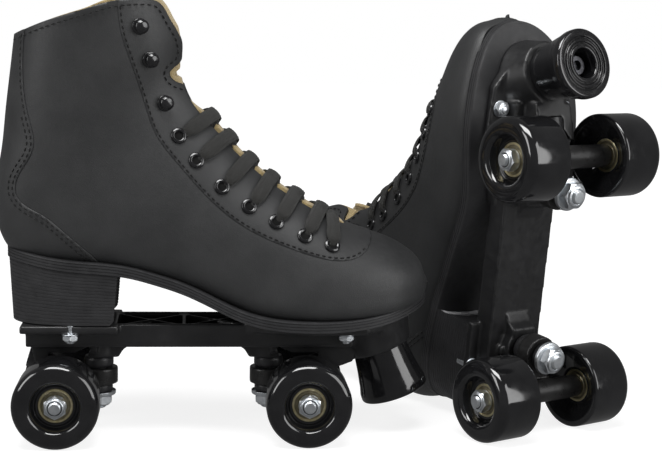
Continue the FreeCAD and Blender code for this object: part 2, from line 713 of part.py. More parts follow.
def cup_solid(name, end, grow="0"):
    """The pivot cup's outside: a short round plug round the pivot's end."""
    turn = pivot_rotation(end)
    way = turn.multVec(Vector(0, 0, 1))
    return primitive("Cylinder", name, turn,
                     ("%d * (wheel_base / 2 + pivot_advance) - %.6f * cup_overlap" % (end, way.x), "0",
                      "wheel_diameter / 2 + pivot_rise - %.6f * cup_overlap" % way.z),
                     Radius="cup_diameter / 2 + " + grow, Height="cup_length + " + grow)


def pivot_space(name, end):
    """The room that the pivot pin and its round end take inside the cup."""
    turn = pivot_rotation(end)
    way = turn.multVec(Vector(0, 0, 1))
    pivot_x = "%d * (wheel_base / 2 + pivot_advance)" % end
    pivot_z = "wheel_diameter / 2 + pivot_rise"
    ball = primitive("Sphere", name + "_ball_room", None, (pivot_x, "0", pivot_z),
                     Radius="pivot_diameter / 2")
    bore = primitive("Cylinder", name + "_pin_room", turn,
                     (pivot_x + " - %.6f * pivot_advance" % way.x, "0",
                      pivot_z + " - %.6f * pivot_advance" % way.z),
                     Radius="pivot_diameter / 2", Height="pivot_advance")
    return fused(name + "_room", [ball, bore])


def kingpin_x(end):
    """Where a kingpin stands, fore and aft."""
    return "%d * (wheel_base / 2 - kingpin_setback)" % end


RING_TOP = "(wheel_diameter / 2 + ring_centre_rise + ring_height / 2)"
RING_BOTTOM = "(wheel_diameter / 2 + ring_centre_rise - ring_height / 2)"
BOSS_BOTTOM = "(%s + upper_cushion_height + 2 * cushion_gap)" % RING_TOP
WASHER_TOP = "(%s - lower_cushion_height - 2 * cushion_gap)" % RING_BOTTOM
CHANNEL_FLOOR = "(plate_top - spine_height + spine_wall)"


def cushion_pieces(name, end):
    """The rubber cushions above and below a hanger's ring."""
    pieces = []
    for label, bottom, height in (("upper", RING_TOP + " + cushion_gap", "upper_cushion_height"),
                                  ("lower", RING_BOTTOM + " - cushion_gap - lower_cushion_height",
                                   "lower_cushion_height")):
        at = (kingpin_x(end), "0", bottom)
        solid = primitive("Cylinder", name + "_" + label, UPRIGHT, at,
                          Radius="cushion_diameter / 2", Height=height)
        hole = primitive("Cylinder", name + "_" + label + "_hole", UPRIGHT, at,
                         Radius="kingpin_diameter / 2 + fit_clearance", Height=height)
        pieces.append(cut(name + "_" + label + "_ring", solid, hole))
    return pieces


def kingpin_pieces(name, end):
    """A kingpin bolt, its cup washer and its nut."""
    x = kingpin_x(end)
    nut_top = "(%s - cup_washer_thickness)" % WASHER_TOP
    nut_bottom = "(%s - kingpin_nut_height)" % nut_top
    shank = primitive("Cylinder", name + "_shank", UPRIGHT, (x, "0", nut_bottom + " - kingpin_end"),
                      Radius="kingpin_diameter / 2",
                      Height="%s - %s + kingpin_end" % (CHANNEL_FLOOR, nut_bottom))
    head = hexagon(name + "_head", "kingpin_nut_flats", "kingpin_head_height", (x, "0", CHANNEL_FLOOR))
    bolt = fused(name + "_bolt", [shank, head])
    washer = primitive("Cylinder", name + "_cup_washer", UPRIGHT, (x, "0", nut_top),
                       Radius="cup_washer_diameter / 2", Height="cup_washer_thickness")
    nut = hexagon(name + "_nut", "kingpin_nut_flats", "kingpin_nut_height", (x, "0", nut_bottom))
    pieces = [bolt]
    for label, solid, bottom, height in (("washer", washer, nut_top, "cup_washer_thickness"),
                                         ("nut", nut, nut_bottom, "kingpin_nut_height")):
        hole = primitive("Cylinder", name + "_" + label + "_hole", UPRIGHT, (x, "0", bottom),
                         Radius="kingpin_diameter / 2 + seat_clearance", Height=height)
        pieces.append(cut(name + "_" + label + "_ring", solid, hole))
    return pieces


# ---------------------------------------------------------------- plate, toe stop, bolts

def stop_rotation():
    """Turns +Y onto the toe stop's axis, from the plate to the stop's face."""
    lean = math.radians(size("stop_lean"))
    return Rotation(Vector(0, 1, 0), Vector(math.sin(lean), 0, -math.cos(lean)))


def place_on_stop_axis(item):
    """Puts a piece drawn along +Y on the toe stop's axis, its start on the plate."""
    item.Placement = Placement(Vector(), stop_rotation())
    item.setExpression("Placement.Base.x", bound("stop_x"))
    item.setExpression("Placement.Base.z", bound("stop_z"))
    return item


def toe_stop_body(name):
    """The rubber stop: a flared cone with a bolt recess and two rings moulded in its face."""
    face = "stop_length"
    outer = "stop_face_diameter / 2"
    floor = "stop_length - stop_recess_depth"
    points = [
        ("stop_bolt_diameter / 2 + seat_clearance", "0"),
        ("stop_neck_diameter / 2", "0"),
        ("stop_neck_diameter / 2 + stop_waist_swell", "stop_length * 0.3"),
        (outer + " - stop_flare_step", "stop_length * 0.78"),
        (outer, "stop_length * 0.88"),
        (outer, "stop_length - stop_rim"),
        (outer + " - stop_rim", face),
    ]
    for ring_number in range(2):
        start = "%s - stop_ring_margin - %d * stop_ring_spacing" % (outer, ring_number)
        points += [(start, face), (start, "stop_length - stop_ring_depth"),
                   (start + " - stop_ring_width", "stop_length - stop_ring_depth"),
                   (start + " - stop_ring_width", face)]
    points += [
        ("stop_recess_diameter / 2", face),
        ("stop_recess_diameter / 2", floor),
        ("stop_bolt_diameter / 2 + seat_clearance", floor),
    ]
    body = turned(name, points)
    return place_on_stop_axis(body)


def stop_bolt_body(name):
    """The bolt that holds the stop, its socket head down in the stop's recess."""
    floor = "stop_length - stop_recess_depth"
    body = turned(name, [
        ("0", "-stop_bolt_grip"),
        ("stop_bolt_diameter / 2", "-stop_bolt_grip"),
        ("stop_bolt_diameter / 2", floor),
        ("stop_bolt_head / 2", floor),
        ("stop_bolt_head / 2", floor + " + stop_bolt_head_height"),
        ("stop_bolt_head / 4", floor + " + stop_bolt_head_height"),
        ("stop_bolt_head / 4", floor + " + stop_bolt_head_height / 2"),
        ("0", floor + " + stop_bolt_head_height / 2"),
    ])
    return place_on_stop_axis(body)


def plate_bolt_spots():
    """The four bolts that hold the plate to the boot."""
    return [(x, side) for x in ("front_bolt_x", "rear_bolt_x") for side in (-1, 1)]


FLANGE_BOTTOM = "(plate_top - flange_thickness)"


def bolt_shank(name, x, side, grow):
    """A plate bolt's shank, or the hole for it, from under its nut up into the sole or heel."""
    below = "(plate_nut_height + plate_bolt_tail)"
    return primitive("Cylinder", name, UPRIGHT,
                     (x, "%d * plate_bolt_spread / 2" % side, "%s - %s" % (FLANGE_BOTTOM, below)),
                     Radius="plate_bolt_diameter / 2 + " + grow,
                     Height="flange_thickness + %s + bolt_reach + 3 * %s" % (below, grow))


def plate_bolt_pieces(name):
    """Bolts and nuts under the plate's flanges."""
    pieces = []
    for x, side in plate_bolt_spots():
        pieces.append(bolt_shank(name + "_shank", x, side, "0"))
        at = (x, "%d * plate_bolt_spread / 2" % side, FLANGE_BOTTOM + " - plate_nut_height")
        nut = hexagon(name + "_nut", "plate_nut_flats", "plate_nut_height", at)
        hole = primitive("Cylinder", name + "_nut_hole", UPRIGHT, at,
                         Radius="plate_bolt_diameter / 2 + seat_clearance", Height="plate_nut_height")
        pieces.append(cut(name + "_nut_ring", nut, hole))
    return pieces


def plate_solid(name, sole_tool):
    """The plate: open spine with crossed ribs, two truck blocks, flanges and the stop's pedestal."""
    spine_bottom = "(plate_top - spine_height)"
    rear_end = "(-wheel_base / 2 - spine_rear)"
    front_end = "(wheel_base / 2 + spine_front)"
    spine = primitive("Box", name + "_spine", UPRIGHT, (rear_end, "-spine_width / 2", spine_bottom),
                      Length="%s - %s" % (front_end, rear_end), Width="spine_width", Height="spine_height")
    pieces = [spine]
    for end in (-1, 1):
        pieces.append(primitive("Cylinder", name + "_boss", UPRIGHT, (kingpin_x(end), "0", BOSS_BOTTOM),
                                Radius="boss_diameter / 2",
                                Height="plate_top - spine_height - %s" % BOSS_BOTTOM))
        pieces.append(block_body("%s_block_%d" % (name, end + 1), end))
    pieces.append(fillet_web(name + "_web_rear", -1))
    pieces.append(fillet_web(name + "_web_front", 1))
    flange_rear = "-wheel_base / 2 - heel_flange_rear"
    flange_front = kingpin_x(-1) + " + heel_flange_front"
    pieces.append(extruded(name + "_heel_flange", "XZ_Plane", [
        (flange_rear, FLANGE_BOTTOM), (flange_front, FLANGE_BOTTOM),
        (flange_front, "plate_top"), (flange_rear, "plate_top")], "heel_flange_width"))
    nose = "(wheel_base / 2 + nose_reach)"
    shoulder = "wheel_base / 2 + shoulder_reach"
    start = kingpin_x(1) + " - front_flange_start"
    front_flange = extruded(name + "_front_flange", "XY_Plane", [
        (start, "-spine_width / 2"), ("wheel_base / 2", "-front_flange_width / 2"),
        (shoulder, "-shoulder_width / 2"), (nose + " - nose_length", "-nose_width / 2"), (nose, "0"),
        (nose + " - nose_length", "nose_width / 2"), (shoulder, "shoulder_width / 2"),
        ("wheel_base / 2", "front_flange_width / 2"), (start, "spine_width / 2")],
        "2 * flange_thickness")
    front_flange.setExpression("Placement.Base.z", bound("plate_top"))
    pieces.append(front_flange)
    turn = Rotation(Vector(0, 0, 1), stop_rotation().multVec(Vector(0, -1, 0)))
    pieces.append(primitive("Cone", name + "_pedestal", turn, ("stop_x", "0", "stop_z"),
                            Radius1="pedestal_diameter / 2",
                            Radius2="pedestal_diameter / 2 + pedestal_flare", Height="pedestal_height"))
    solid = fused(name + "_solid", pieces)

    channel_start = kingpin_x(-1) + " + boss_diameter / 2"
    channel_length = "wheel_base - 2 * kingpin_setback - boss_diameter"
    channel = primitive("Box", name + "_channel", UPRIGHT,
                        (channel_start, "-spine_width / 2 + spine_wall", CHANNEL_FLOOR),
                        Length=channel_length, Width="spine_width - 2 * spine_wall", Height="spine_height")
    ribs = []
    span = size(channel_length)
    across = size("spine_width - 2 * spine_wall")
    angle = math.degrees(math.atan2(across, span / 2))
    for half in (0, 1):
        for sign in (-1, 1):
            middle = "%s + (%s) * %.2f" % (channel_start, channel_length, 0.25 + 0.5 * half)
            turned_by = Rotation(Vector(0, 0, 1), sign * angle)
            holder = primitive("Box", name + "_rib", turned_by,
                               (middle, "0", CHANNEL_FLOOR), Length=channel_length, Width="rib_thickness",
                               Height="plate_top - %s - rib_drop" % CHANNEL_FLOOR)
            back = turned_by.multVec(Vector(-span / 2, -size("rib_thickness / 2"), 0))
            holder.setExpression("Placement.Base.x", bound("%s + %.4f" % (middle, back.x)))
            holder.setExpression("Placement.Base.y", bound("%.4f" % back.y))
            ribs.append(holder)
    cross = primitive("Box", name + "_cross_rib", UPRIGHT,
                      (channel_start + " + (%s) / 2 - rib_thickness / 2" % channel_length, "-spine_width / 2",
                       CHANNEL_FLOOR), Length="rib_thickness", Width="spine_width",
                      Height="plate_top - %s - rib_drop" % CHANNEL_FLOOR)
    ribs.append(cross)
    room = cut(name + "_channel_room", channel, fused(name + "_ribs", ribs))

    holes = [room, sole_tool]
    for end in (-1, 1):
        label = "%s_%s" % (name, "rear" if end < 0 else "front")
        holes.append(cup_solid(label + "_cup_seat", end, "seat_clearance"))
        holes.append(pivot_entry(label + "_pivot_entry", end))
        holes.append(primitive("Cylinder", label + "_kingpin_bore", UPRIGHT, (kingpin_x(end), "0", RING_TOP),
                               Radius="kingpin_diameter / 2 + seat_clearance", Height="plate_top"))
        holes.append(hexagon(label + "_head_pocket", "kingpin_nut_flats + 2 * fit_clearance", "plate_top",
                             (kingpin_x(end), "0", CHANNEL_FLOOR)))
    for x, side in plate_bolt_spots():
        holes.append(bolt_shank(name + "_bolt_hole", x, side, "seat_clearance"))
    stop_hole = turned(name + "_stop_hole", [
        ("0", "-stop_bolt_grip - fit_clearance"),
        ("stop_bolt_diameter / 2 + seat_clearance", "-stop_bolt_grip - fit_clearance"),
        ("stop_bolt_diameter / 2 + seat_clearance", "0"), ("0", "0")])
    stop_room = turned(name + "_stop_room", [
        ("0", "0"), ("stop_room", "0"), ("stop_room", "stop_length"), ("0", "stop_length")])
    holes += [place_on_stop_axis(stop_hole), place_on_stop_axis(stop_room)]
    return cut(name + "_cut", solid, fused(name + "_holes", holes))


def pivot_entry(name, end):
    """A flared way into the pivot cup, wide enough for the post and pin to swing."""
    turn = pivot_rotation(end)
    way = turn.multVec(Vector(0, 0, 1))
    return primitive("Cone", name, turn,
                     ("%d * (wheel_base / 2 + pivot_advance) - %.6f * swing_length" % (end, way.x), "0",
                      "wheel_diameter / 2 + pivot_rise - %.6f * swing_length" % way.z),
                     Radius1="swing_radius", Radius2="cup_diameter / 2 + swing_margin",
                     Height="swing_length - cup_overlap")


def block_body(name, end):
    """The deep block that carries a pivot cup, under one end of the spine."""
    where = "front" if end > 0 else "rear"
    outer_x = "%d * (wheel_base / 2 + %s_block_top)" % (end, where)
    foot_x = "%d * (wheel_base / 2 + %s_block_foot)" % (end, where)
    inner_x = "%d * (wheel_base / 2 + block_inner_reach)" % end
    foot = "block_bottom - block_drop"
    step = "block_bottom + block_step"
    return extruded(name, "XZ_Plane", [
        (outer_x, FLANGE_BOTTOM), (foot_x, foot), (inner_x, foot), (inner_x, step),
        (kingpin_x(end), step), (kingpin_x(end), FLANGE_BOTTOM)], "block_width")


def fillet_web(name, end):
    """The sloping web between the spine and a kingpin boss."""
    start = kingpin_x(end)
    top = "plate_top - spine_height"
    return extruded(name, "XZ_Plane", [
        (start, BOSS_BOTTOM), ("%s - %d * web_foot" % (start, end), BOSS_BOTTOM),
        ("%s - %d * web_knee" % (start, end), BOSS_BOTTOM + " + web_knee_rise"),
        ("%s - %d * web_head" % (start, end), top),
        ("%s - %d * web_head" % (start, end), top + " + web_overlap"),
        (start, top + " + web_overlap")], "web_width")


# ---------------------------------------------------------------- one skate

FORM, SOFT = boot_shapes()
SKIN = boot_surface(FORM)
SOFT["outsole"] = outsole_shape()
SOFT["heel_block"] = heel_shape()
for key in ("upper", "lining", "insole", "tongue", "outsole", "heel_block"):
    SOFT[key] = largest_solid(SOFT[key])
SOFT["eyelets"] = eyelet_shapes(SKIN)
SOFT["hooks"] = hook_shapes(SKIN)
SOFT["laces"] = lace_shapes(SKIN)
SOLE_ROOM = over_sole(-size("outsole_thickness"))


def for_foot(shape, side):
    """The right foot's shape, or its mirror image for the left foot."""
    return shape if side < 0 else shape.mirror(Vector(), Vector(0, 1, 0))


def with_bolt_holes(name, base):
    """A sole or heel piece with holes for the plate's bolts."""
    holes = [bolt_shank(name + "_bolt_hole", x, hand, "seat_clearance") for x, hand in plate_bolt_spots()]
    return cut(name + "_drilled", base, fused(name + "_bolt_holes", holes))


def skate(prefix, side):
    """Every node of one skate, in the skate's frame. The outer side is -Y on a right skate."""
    nodes = {}
    for key in ("upper", "lining", "tongue", "insole", "eyelets", "hooks", "laces"):
        nodes[key] = [fixed(prefix + key + "_solid", for_foot(SOFT[key], side))]
    for key in ("outsole", "heel_block"):
        base = fixed(prefix + key + "_solid", for_foot(SOFT[key], side))
        nodes[key] = [with_bolt_holes(prefix + key, base)]
    sole_tool = fixed(prefix + "sole_room", SOLE_ROOM)
    nodes["plate"] = [plate_solid(prefix + "plate", sole_tool)]
    nodes["plate_bolts"] = plate_bolt_pieces(prefix + "plate_bolt")
    nodes["toe_stop"] = [toe_stop_body(prefix + "stop")]
    nodes["toe_stop_bolt"] = [stop_bolt_body(prefix + "stop_bolt")]
    nodes["kingpins"] = []
    nodes["pivot_cups"] = []
    nodes["cushions"] = []
    for end_name, end in AXLE_ENDS:
        label = prefix + end_name
        nodes["kingpins"] += kingpin_pieces(label + "_kingpin", end)
        nodes["cushions"] += cushion_pieces(label + "_cushion", end)
        nodes["pivot_cups"].append(cut(label + "_cup", cup_solid(label + "_cup_plug", end),
                                       pivot_space(label + "_pivot", end)))
        nodes[end_name + "_truck"] = [truck_solid(label + "_truck", end)]
        nodes[end_name + "_axle"] = axle_pieces(label + "_axle", end)
        nodes[end_name + "_inner_races"] = race_pieces(label, end)
        for hand_name, hand in (("outer", side), ("inner", -side)):
            wheel = wheel_body("%s_%s_wheel_body" % (label, hand_name))
            bearings = group("%s_%s_bearing_set" % (label, hand_name),
                             bearing_pieces("%s_%s" % (label, hand_name)))
            move_to_wheel(wheel, end, hand)
            move_to_wheel(bearings, end, hand)
            nodes["%s_%s_wheel" % (end_name, hand_name)] = [wheel]
            nodes["%s_%s_bearings" % (end_name, hand_name)] = [bearings]
    return {prefix + key: group(prefix + key, pieces) for key, pieces in nodes.items()}


MOST_LEAN = 30.0
LEAN_STEP = 0.01


def tipped(lean):
    """The left skate's turn and place with its toe up, leaning from upright by an angle."""
    heading = Rotation(Vector(0, 0, 1), size("left_heading"))
    tip = Rotation(Vector(0, 1, 0), -(90 - lean))
    turn = heading.multiply(tip)
    rear_axle = Vector(-size("wheel_base / 2"), 0, size("wheel_diameter / 2"))
    goal = Vector(size("left_axle_x"), size("left_axle_y"), size("wheel_diameter / 2"))
    return Placement(goal - turn.multVec(rear_axle), turn)


def lowest(shape, placement):
    """How high a shape's lowest point is once it is placed."""
    placed = shape.copy()
    placed.Placement = placement
    return placed.optimalBoundingBox(True, False).ZMin


def left_placement(heel_end):
    """The left skate resting on its rear wheels and on the back of its heel."""
    low, high = 0.0, MOST_LEAN
    while high - low > LEAN_STEP:
        middle = (low + high) / 2
        if lowest(heel_end, tipped(middle)) < size("floor_gap"):
            low = middle
        else:
            high = middle
    return tipped(high)


def whole_box(items):
    """The box round the shapes of several objects."""
    box = FreeCAD.BoundBox()
    for item in items:
        box.add(item.Shape.optimalBoundingBox(True, False))
    return box


right_nodes = skate("right_", -1)
left_nodes = skate("left_", 1)
doc.recompute()

heel_end = Part.makeCompound([for_foot(SOFT[key], 1) for key in ("outsole", "heel_block", "upper")])
left_place = left_placement(heel_end)
for item in left_nodes.values():
    item.Placement = left_place
doc.recompute()

all_nodes = {**right_nodes, **left_nodes}
box = whole_box(all_nodes.values())
shift = Vector(-(box.XMin + box.XMax) / 2, -(box.YMin + box.YMax) / 2, 0)
for item in right_nodes.values():
    item.Placement = Placement(shift, Rotation())
for item in left_nodes.values():
    item.Placement = Placement(left_place.Base + shift, left_place.Rotation)
doc.recompute()

for item in doc.Objects:
    if "Invalid" in item.State or "Error" in item.State:
        raise ValueError("%s did not build: %s" % (item.Name, item.State))

os.makedirs("parts", exist_ok=True)
for name, item in all_nodes.items():
    item.Label = name
    if item.Shape.isNull() or not item.Shape.isValid() or not item.Shape.Solids:
        raise ValueError(name + " is not a valid solid")
    item.Shape.exportStep("parts/%s.step" % name)

print("right skate's origin", shift)
print("left skate's place", left_place.Base + shift, "turn", left_place.Rotation.Q)
print("pair's box", whole_box(all_nodes.values()))
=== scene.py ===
"""A pair of black quad roller skates: the right one stands, the left one leans toe up beside it."""
import json
import math

import bpy
import numpy as np
from mathutils import Matrix, Vector
from mathutils.bvhtree import BVHTree


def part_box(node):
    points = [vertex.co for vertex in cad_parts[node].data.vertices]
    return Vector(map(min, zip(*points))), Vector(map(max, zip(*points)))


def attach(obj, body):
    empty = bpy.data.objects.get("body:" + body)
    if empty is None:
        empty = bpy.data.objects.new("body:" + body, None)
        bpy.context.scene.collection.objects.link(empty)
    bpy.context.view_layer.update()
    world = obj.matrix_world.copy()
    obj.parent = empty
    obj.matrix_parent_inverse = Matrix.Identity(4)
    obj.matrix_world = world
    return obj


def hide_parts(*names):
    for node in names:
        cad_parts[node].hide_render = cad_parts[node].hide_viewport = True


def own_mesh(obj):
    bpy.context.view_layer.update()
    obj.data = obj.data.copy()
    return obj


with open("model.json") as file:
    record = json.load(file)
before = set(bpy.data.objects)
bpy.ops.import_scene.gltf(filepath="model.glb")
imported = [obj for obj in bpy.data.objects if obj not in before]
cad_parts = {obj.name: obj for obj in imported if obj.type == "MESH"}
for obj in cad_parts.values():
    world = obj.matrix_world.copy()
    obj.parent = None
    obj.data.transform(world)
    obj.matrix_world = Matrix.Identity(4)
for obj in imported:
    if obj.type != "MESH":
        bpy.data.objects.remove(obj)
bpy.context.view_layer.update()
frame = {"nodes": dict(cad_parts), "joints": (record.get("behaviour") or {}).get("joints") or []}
MM = 0.001
JOINTS = {joint["name"]: joint for joint in frame["joints"]}


# ------------------------------------------------------------------ the skates' own frames

def skate_matrix(side):
    """From a skate's own frame (origin under its axles, X to the toe, Z up) to the row frame."""
    spots = {}
    for end in ("front", "rear"):
        ends = [Vector(JOINTS["%s_%s_%s_spin" % (side, end, hand)]["pos_m"]) for hand in ("outer", "inner")]
        spots[end] = (ends[0] + ends[1]) / 2
    toe = (spots["front"] - spots["rear"]).normalized()
    left = Vector(JOINTS[side + "_front_outer_spin"]["axis"]).normalized()
    up = toe.cross(left)
    origin = (spots["front"] + spots["rear"]) / 2 - up * WHEEL_RADIUS * MM
    turn = Matrix((toe, left, up)).transposed()
    return Matrix.Translation(origin) @ turn.to_4x4() @ Matrix.Scale(MM, 4)


low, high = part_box("right_front_outer_wheel")
WHEEL_RADIUS = (high.z - low.z) / 2 / MM
WHEEL_WIDTH = (high.y - low.y) / MM
FRONT_OUTER, FRONT_INNER, REAR_OUTER = (Vector(JOINTS["right_%s_spin" % wheel]["pos_m"])
                                        for wheel in ("front_outer", "front_inner", "rear_outer"))
AXLE_X = (FRONT_OUTER.x - REAR_OUTER.x) / 2 / MM
TRACK_Y = (FRONT_INNER.y - FRONT_OUTER.y) / 2 / MM
PLACES = {side: skate_matrix(side) for side in ("right", "left")}


# ------------------------------------------------------------------ materials

def new_material(name):
    """An empty node material and its principled shader."""
    material = bpy.data.materials.new(name)
    material.use_nodes = True
    nodes = material.node_tree.nodes
    shader = nodes["Principled BSDF"]
    return material, nodes, material.node_tree.links, shader


def coords(nodes, links, scale=1.0):
    """Object-space coordinates in millimetres, scaled."""
    place = nodes.new("ShaderNodeTexCoord")
    mapping = nodes.new("ShaderNodeMapping")
    mapping.inputs["Scale"].default_value = (scale / MM,) * 3
    links.new(place.outputs["Object"], mapping.inputs["Vector"])
    return mapping.outputs["Vector"]


def noise(nodes, links, vector, scale, detail=4.0, rough=0.55):
    """A noise texture's factor."""
    node = nodes.new("ShaderNodeTexNoise")
    node.inputs["Scale"].default_value = scale
    node.inputs["Detail"].default_value = detail
    node.inputs["Roughness"].default_value = rough
    links.new(vector, node.inputs["Vector"])
    return node.outputs["Fac"]


def ramp(nodes, links, factor, stops):
    """Colours along a factor."""
    node = nodes.new("ShaderNodeValToRGB")
    for index, (at, color) in enumerate(stops):
        element = node.color_ramp.elements[index] if index < 2 else node.color_ramp.elements.new(at)
        element.position = at
        element.color = tuple(color) + (1,) if len(color) == 3 else color
    links.new(factor, node.inputs["Fac"])
    return node.outputs["Color"]


def bump(nodes, links, shader, height, strength, distance):
    """Adds a bump to the shader, chained on any that it already has."""
    node = nodes.new("ShaderNodeBump")
    node.inputs["Strength"].default_value = strength
    node.inputs["Distance"].default_value = distance * MM
    links.new(height, node.inputs["Height"])
    if shader.inputs["Normal"].links:
        links.new(shader.inputs["Normal"].links[0].from_socket, node.inputs["Normal"])
    links.new(node.outputs["Normal"], shader.inputs["Normal"])


def grey(value):
    """A neutral colour."""
    return (value, value, value)


def leather_material(name, dark, light, grain=0.9):
    """Matte synthetic leather: fine pebbled grain, soft clouding, dull sheen."""
    material, nodes, links, shader = new_material(name)
    place = coords(nodes, links)
    cloud = noise(nodes, links, place, 0.035, 3.0)
    links.new(ramp(nodes, links, cloud, [(0.3, dark), (0.72, light)]), shader.inputs["Base Color"])
    cells = nodes.new("ShaderNodeTexVoronoi")
    cells.feature = "DISTANCE_TO_EDGE"
    cells.inputs["Scale"].default_value = grain
    links.new(place, cells.inputs["Vector"])
    creases = ramp(nodes, links, cells.outputs["Distance"], [(0.0, grey(0)), (0.25, grey(1))])
    bump(nodes, links, shader, creases, 0.22, 0.12)
    bump(nodes, links, shader, noise(nodes, links, place, 0.25, 5.0), 0.18, 0.5)
    dullness = noise(nodes, links, place, 0.6, 5.0)
    links.new(ramp(nodes, links, dullness, [(0.3, grey(0.42)), (0.75, grey(0.56))]),
              shader.inputs["Roughness"])
    shader.inputs["Specular IOR Level"].default_value = 0.42
    return material


def fabric_material(name, dark, light, scale=1.6):
    """Napped cloth: a fine weave under short fibres."""
    material, nodes, links, shader = new_material(name)
    place = coords(nodes, links)
    fibre = noise(nodes, links, place, scale, 8.0, 0.7)
    links.new(ramp(nodes, links, fibre, [(0.3, dark), (0.7, light)]), shader.inputs["Base Color"])
    bump(nodes, links, shader, fibre, 1.0, 0.9)
    bump(nodes, links, shader, noise(nodes, links, place, 0.12, 2.0), 0.4, 1.0)
    shader.inputs["Roughness"].default_value = 0.92
    shader.inputs["Sheen Weight"].default_value = 0.35
    shader.inputs["Specular IOR Level"].default_value = 0.15
    return material


def woven_material(name, dark, light):
    """A flat woven lace: crossed threads read from the strap's own coordinates."""
    material, nodes, links, shader = new_material(name)
    uv = nodes.new("ShaderNodeUVMap")
    uv.uv_map = "weave"
    checks = []
    for direction in ("X", "Y"):
        wave = nodes.new("ShaderNodeTexWave")
        wave.bands_direction = direction
        wave.wave_profile = "SIN"
        wave.inputs["Scale"].default_value = 0.5
        wave.inputs["Distortion"].default_value = 0.6
        wave.inputs["Detail"].default_value = 2.0
        links.new(uv.outputs["UV"], wave.inputs["Vector"])
        checks.append(wave.outputs["Fac"])
    mix = nodes.new("ShaderNodeMath")
    mix.operation = "MULTIPLY"
    links.new(checks[0], mix.inputs[0])
    links.new(checks[1], mix.inputs[1])
    links.new(ramp(nodes, links, mix.outputs[0], [(0.0, dark), (0.8, light)]), shader.inputs["Base Color"])
    bump(nodes, links, shader, mix.outputs[0], 1.0, 0.6)
    shader.inputs["Roughness"].default_value = 0.82
    shader.inputs["Sheen Weight"].default_value = 0.15
    shader.inputs["Specular IOR Level"].default_value = 0.25
    return material


def plastic_material(name, color, rough=0.45, grain=0.12, coat=0.0, spec=0.5):
    """Moulded plastic, rubber or urethane: faint waviness, fine texture, uneven gloss."""
    material, nodes, links, shader = new_material(name)
    place = coords(nodes, links)
    tint = noise(nodes, links, place, 0.06, 3.0)
    lighter = tuple(channel * 1.5 + 0.003 for channel in color)
    links.new(ramp(nodes, links, tint, [(0.3, color), (0.75, lighter)]), shader.inputs["Base Color"])
    bump(nodes, links, shader, noise(nodes, links, place, 2.5, 4.0), grain, 0.15)
    bump(nodes, links, shader, noise(nodes, links, place, 0.03, 1.0), 0.15, 1.2)
    spread = 0.06 if rough < 0.3 else 0.1
    links.new(ramp(nodes, links, noise(nodes, links, place, 0.22, 5.0),
                   [(0.3, grey(max(rough - spread, 0.03))), (0.75, grey(rough + spread))]),
              shader.inputs["Roughness"])
    shader.inputs["Coat Weight"].default_value = coat
    shader.inputs["Coat Roughness"].default_value = 0.06
    shader.inputs["Specular IOR Level"].default_value = spec
    return material


def metal_material(name, dark, light, rough=0.3, brush=0.25):
    """Plated steel: cloudy plating, fine tool marks."""
    material, nodes, links, shader = new_material(name)
    place = coords(nodes, links)
    cloud = noise(nodes, links, place, 0.35, 5.0)
    links.new(ramp(nodes, links, cloud, [(0.3, dark), (0.7, light)]), shader.inputs["Base Color"])
    links.new(ramp(nodes, links, noise(nodes, links, place, 1.2, 4.0),
                   [(0.3, grey(rough - 0.08)), (0.75, grey(rough + 0.12))]), shader.inputs["Roughness"])
    bump(nodes, links, shader, noise(nodes, links, place, 3.0, 3.0), brush, 0.05)
    shader.inputs["Metallic"].default_value = 1.0
    return material


def build_materials():
    """Every material, by the record's slot name or the detail it serves."""
    return {
        "leather": leather_material("leather", (0.017, 0.0174, 0.018), (0.026, 0.0264, 0.027)),
        "panel": leather_material("leather_panel", (0.018, 0.0184, 0.019), (0.027, 0.0274, 0.028)),
        "lining": fabric_material("lining", (0.20, 0.145, 0.06), (0.52, 0.40, 0.20)),
        "insole": fabric_material("insole", (0.16, 0.12, 0.055), (0.36, 0.28, 0.14), 0.9),
        "lace": woven_material("lace", (0.002, 0.0019, 0.0014), (0.024, 0.0225, 0.0165)),
        "stitch": woven_material("stitch_thread", (0.002, 0.002, 0.002), (0.008, 0.008, 0.008)),
        "sole_rubber": plastic_material("sole_rubber", (0.013, 0.013, 0.014), 0.5, 0.3),
        "heel_rubber": plastic_material("heel_rubber", (0.012, 0.012, 0.013), 0.48, 0.3),
        "breast": plastic_material("heel_breast", (0.30, 0.30, 0.31), 0.7, 0.5),
        "plate_nylon": plastic_material("plate_nylon", (0.007, 0.007, 0.0075), 0.38, 0.2),
        "truck_nylon": plastic_material("truck_nylon", (0.007, 0.0068, 0.0068), 0.34, 0.2),
        "cushion_rubber": plastic_material("cushion_rubber", (0.010, 0.010, 0.011), 0.4, 0.2),
        "stop_rubber": plastic_material("stop_rubber", (0.004, 0.004, 0.0045), 0.14, 0.06, 0.5),
        "wheel_urethane": plastic_material("wheel_urethane", (0.004, 0.004, 0.0045), 0.1, 0.04, 0.6),
        "black_enamel": plastic_material("black_enamel", (0.004, 0.004, 0.0045), 0.2, 0.04, 0.4),
        "bearing_steel": metal_material("bearing_steel", (0.66, 0.56, 0.30), (0.92, 0.84, 0.58), 0.38),
        "shield": metal_material("bearing_shield", (0.26, 0.23, 0.15), (0.46, 0.41, 0.28), 0.45),
        "zinc": metal_material("zinc", (0.74, 0.78, 0.82), (0.92, 0.95, 0.98), 0.36),
        "dark_steel": metal_material("dark_steel", (0.05, 0.05, 0.055), (0.12, 0.12, 0.13), 0.4),
        # Near-black and rough: painted shade filling the eyelet holes, and also the dark colour of the lock
        # nuts' nylon inserts.
        "hole": plastic_material("hole_shadow", (0.003, 0.003, 0.003), 0.8, 0.1, 0.0, 0.1),
    }


MATERIALS = build_materials()


# ------------------------------------------------------------------ pieces

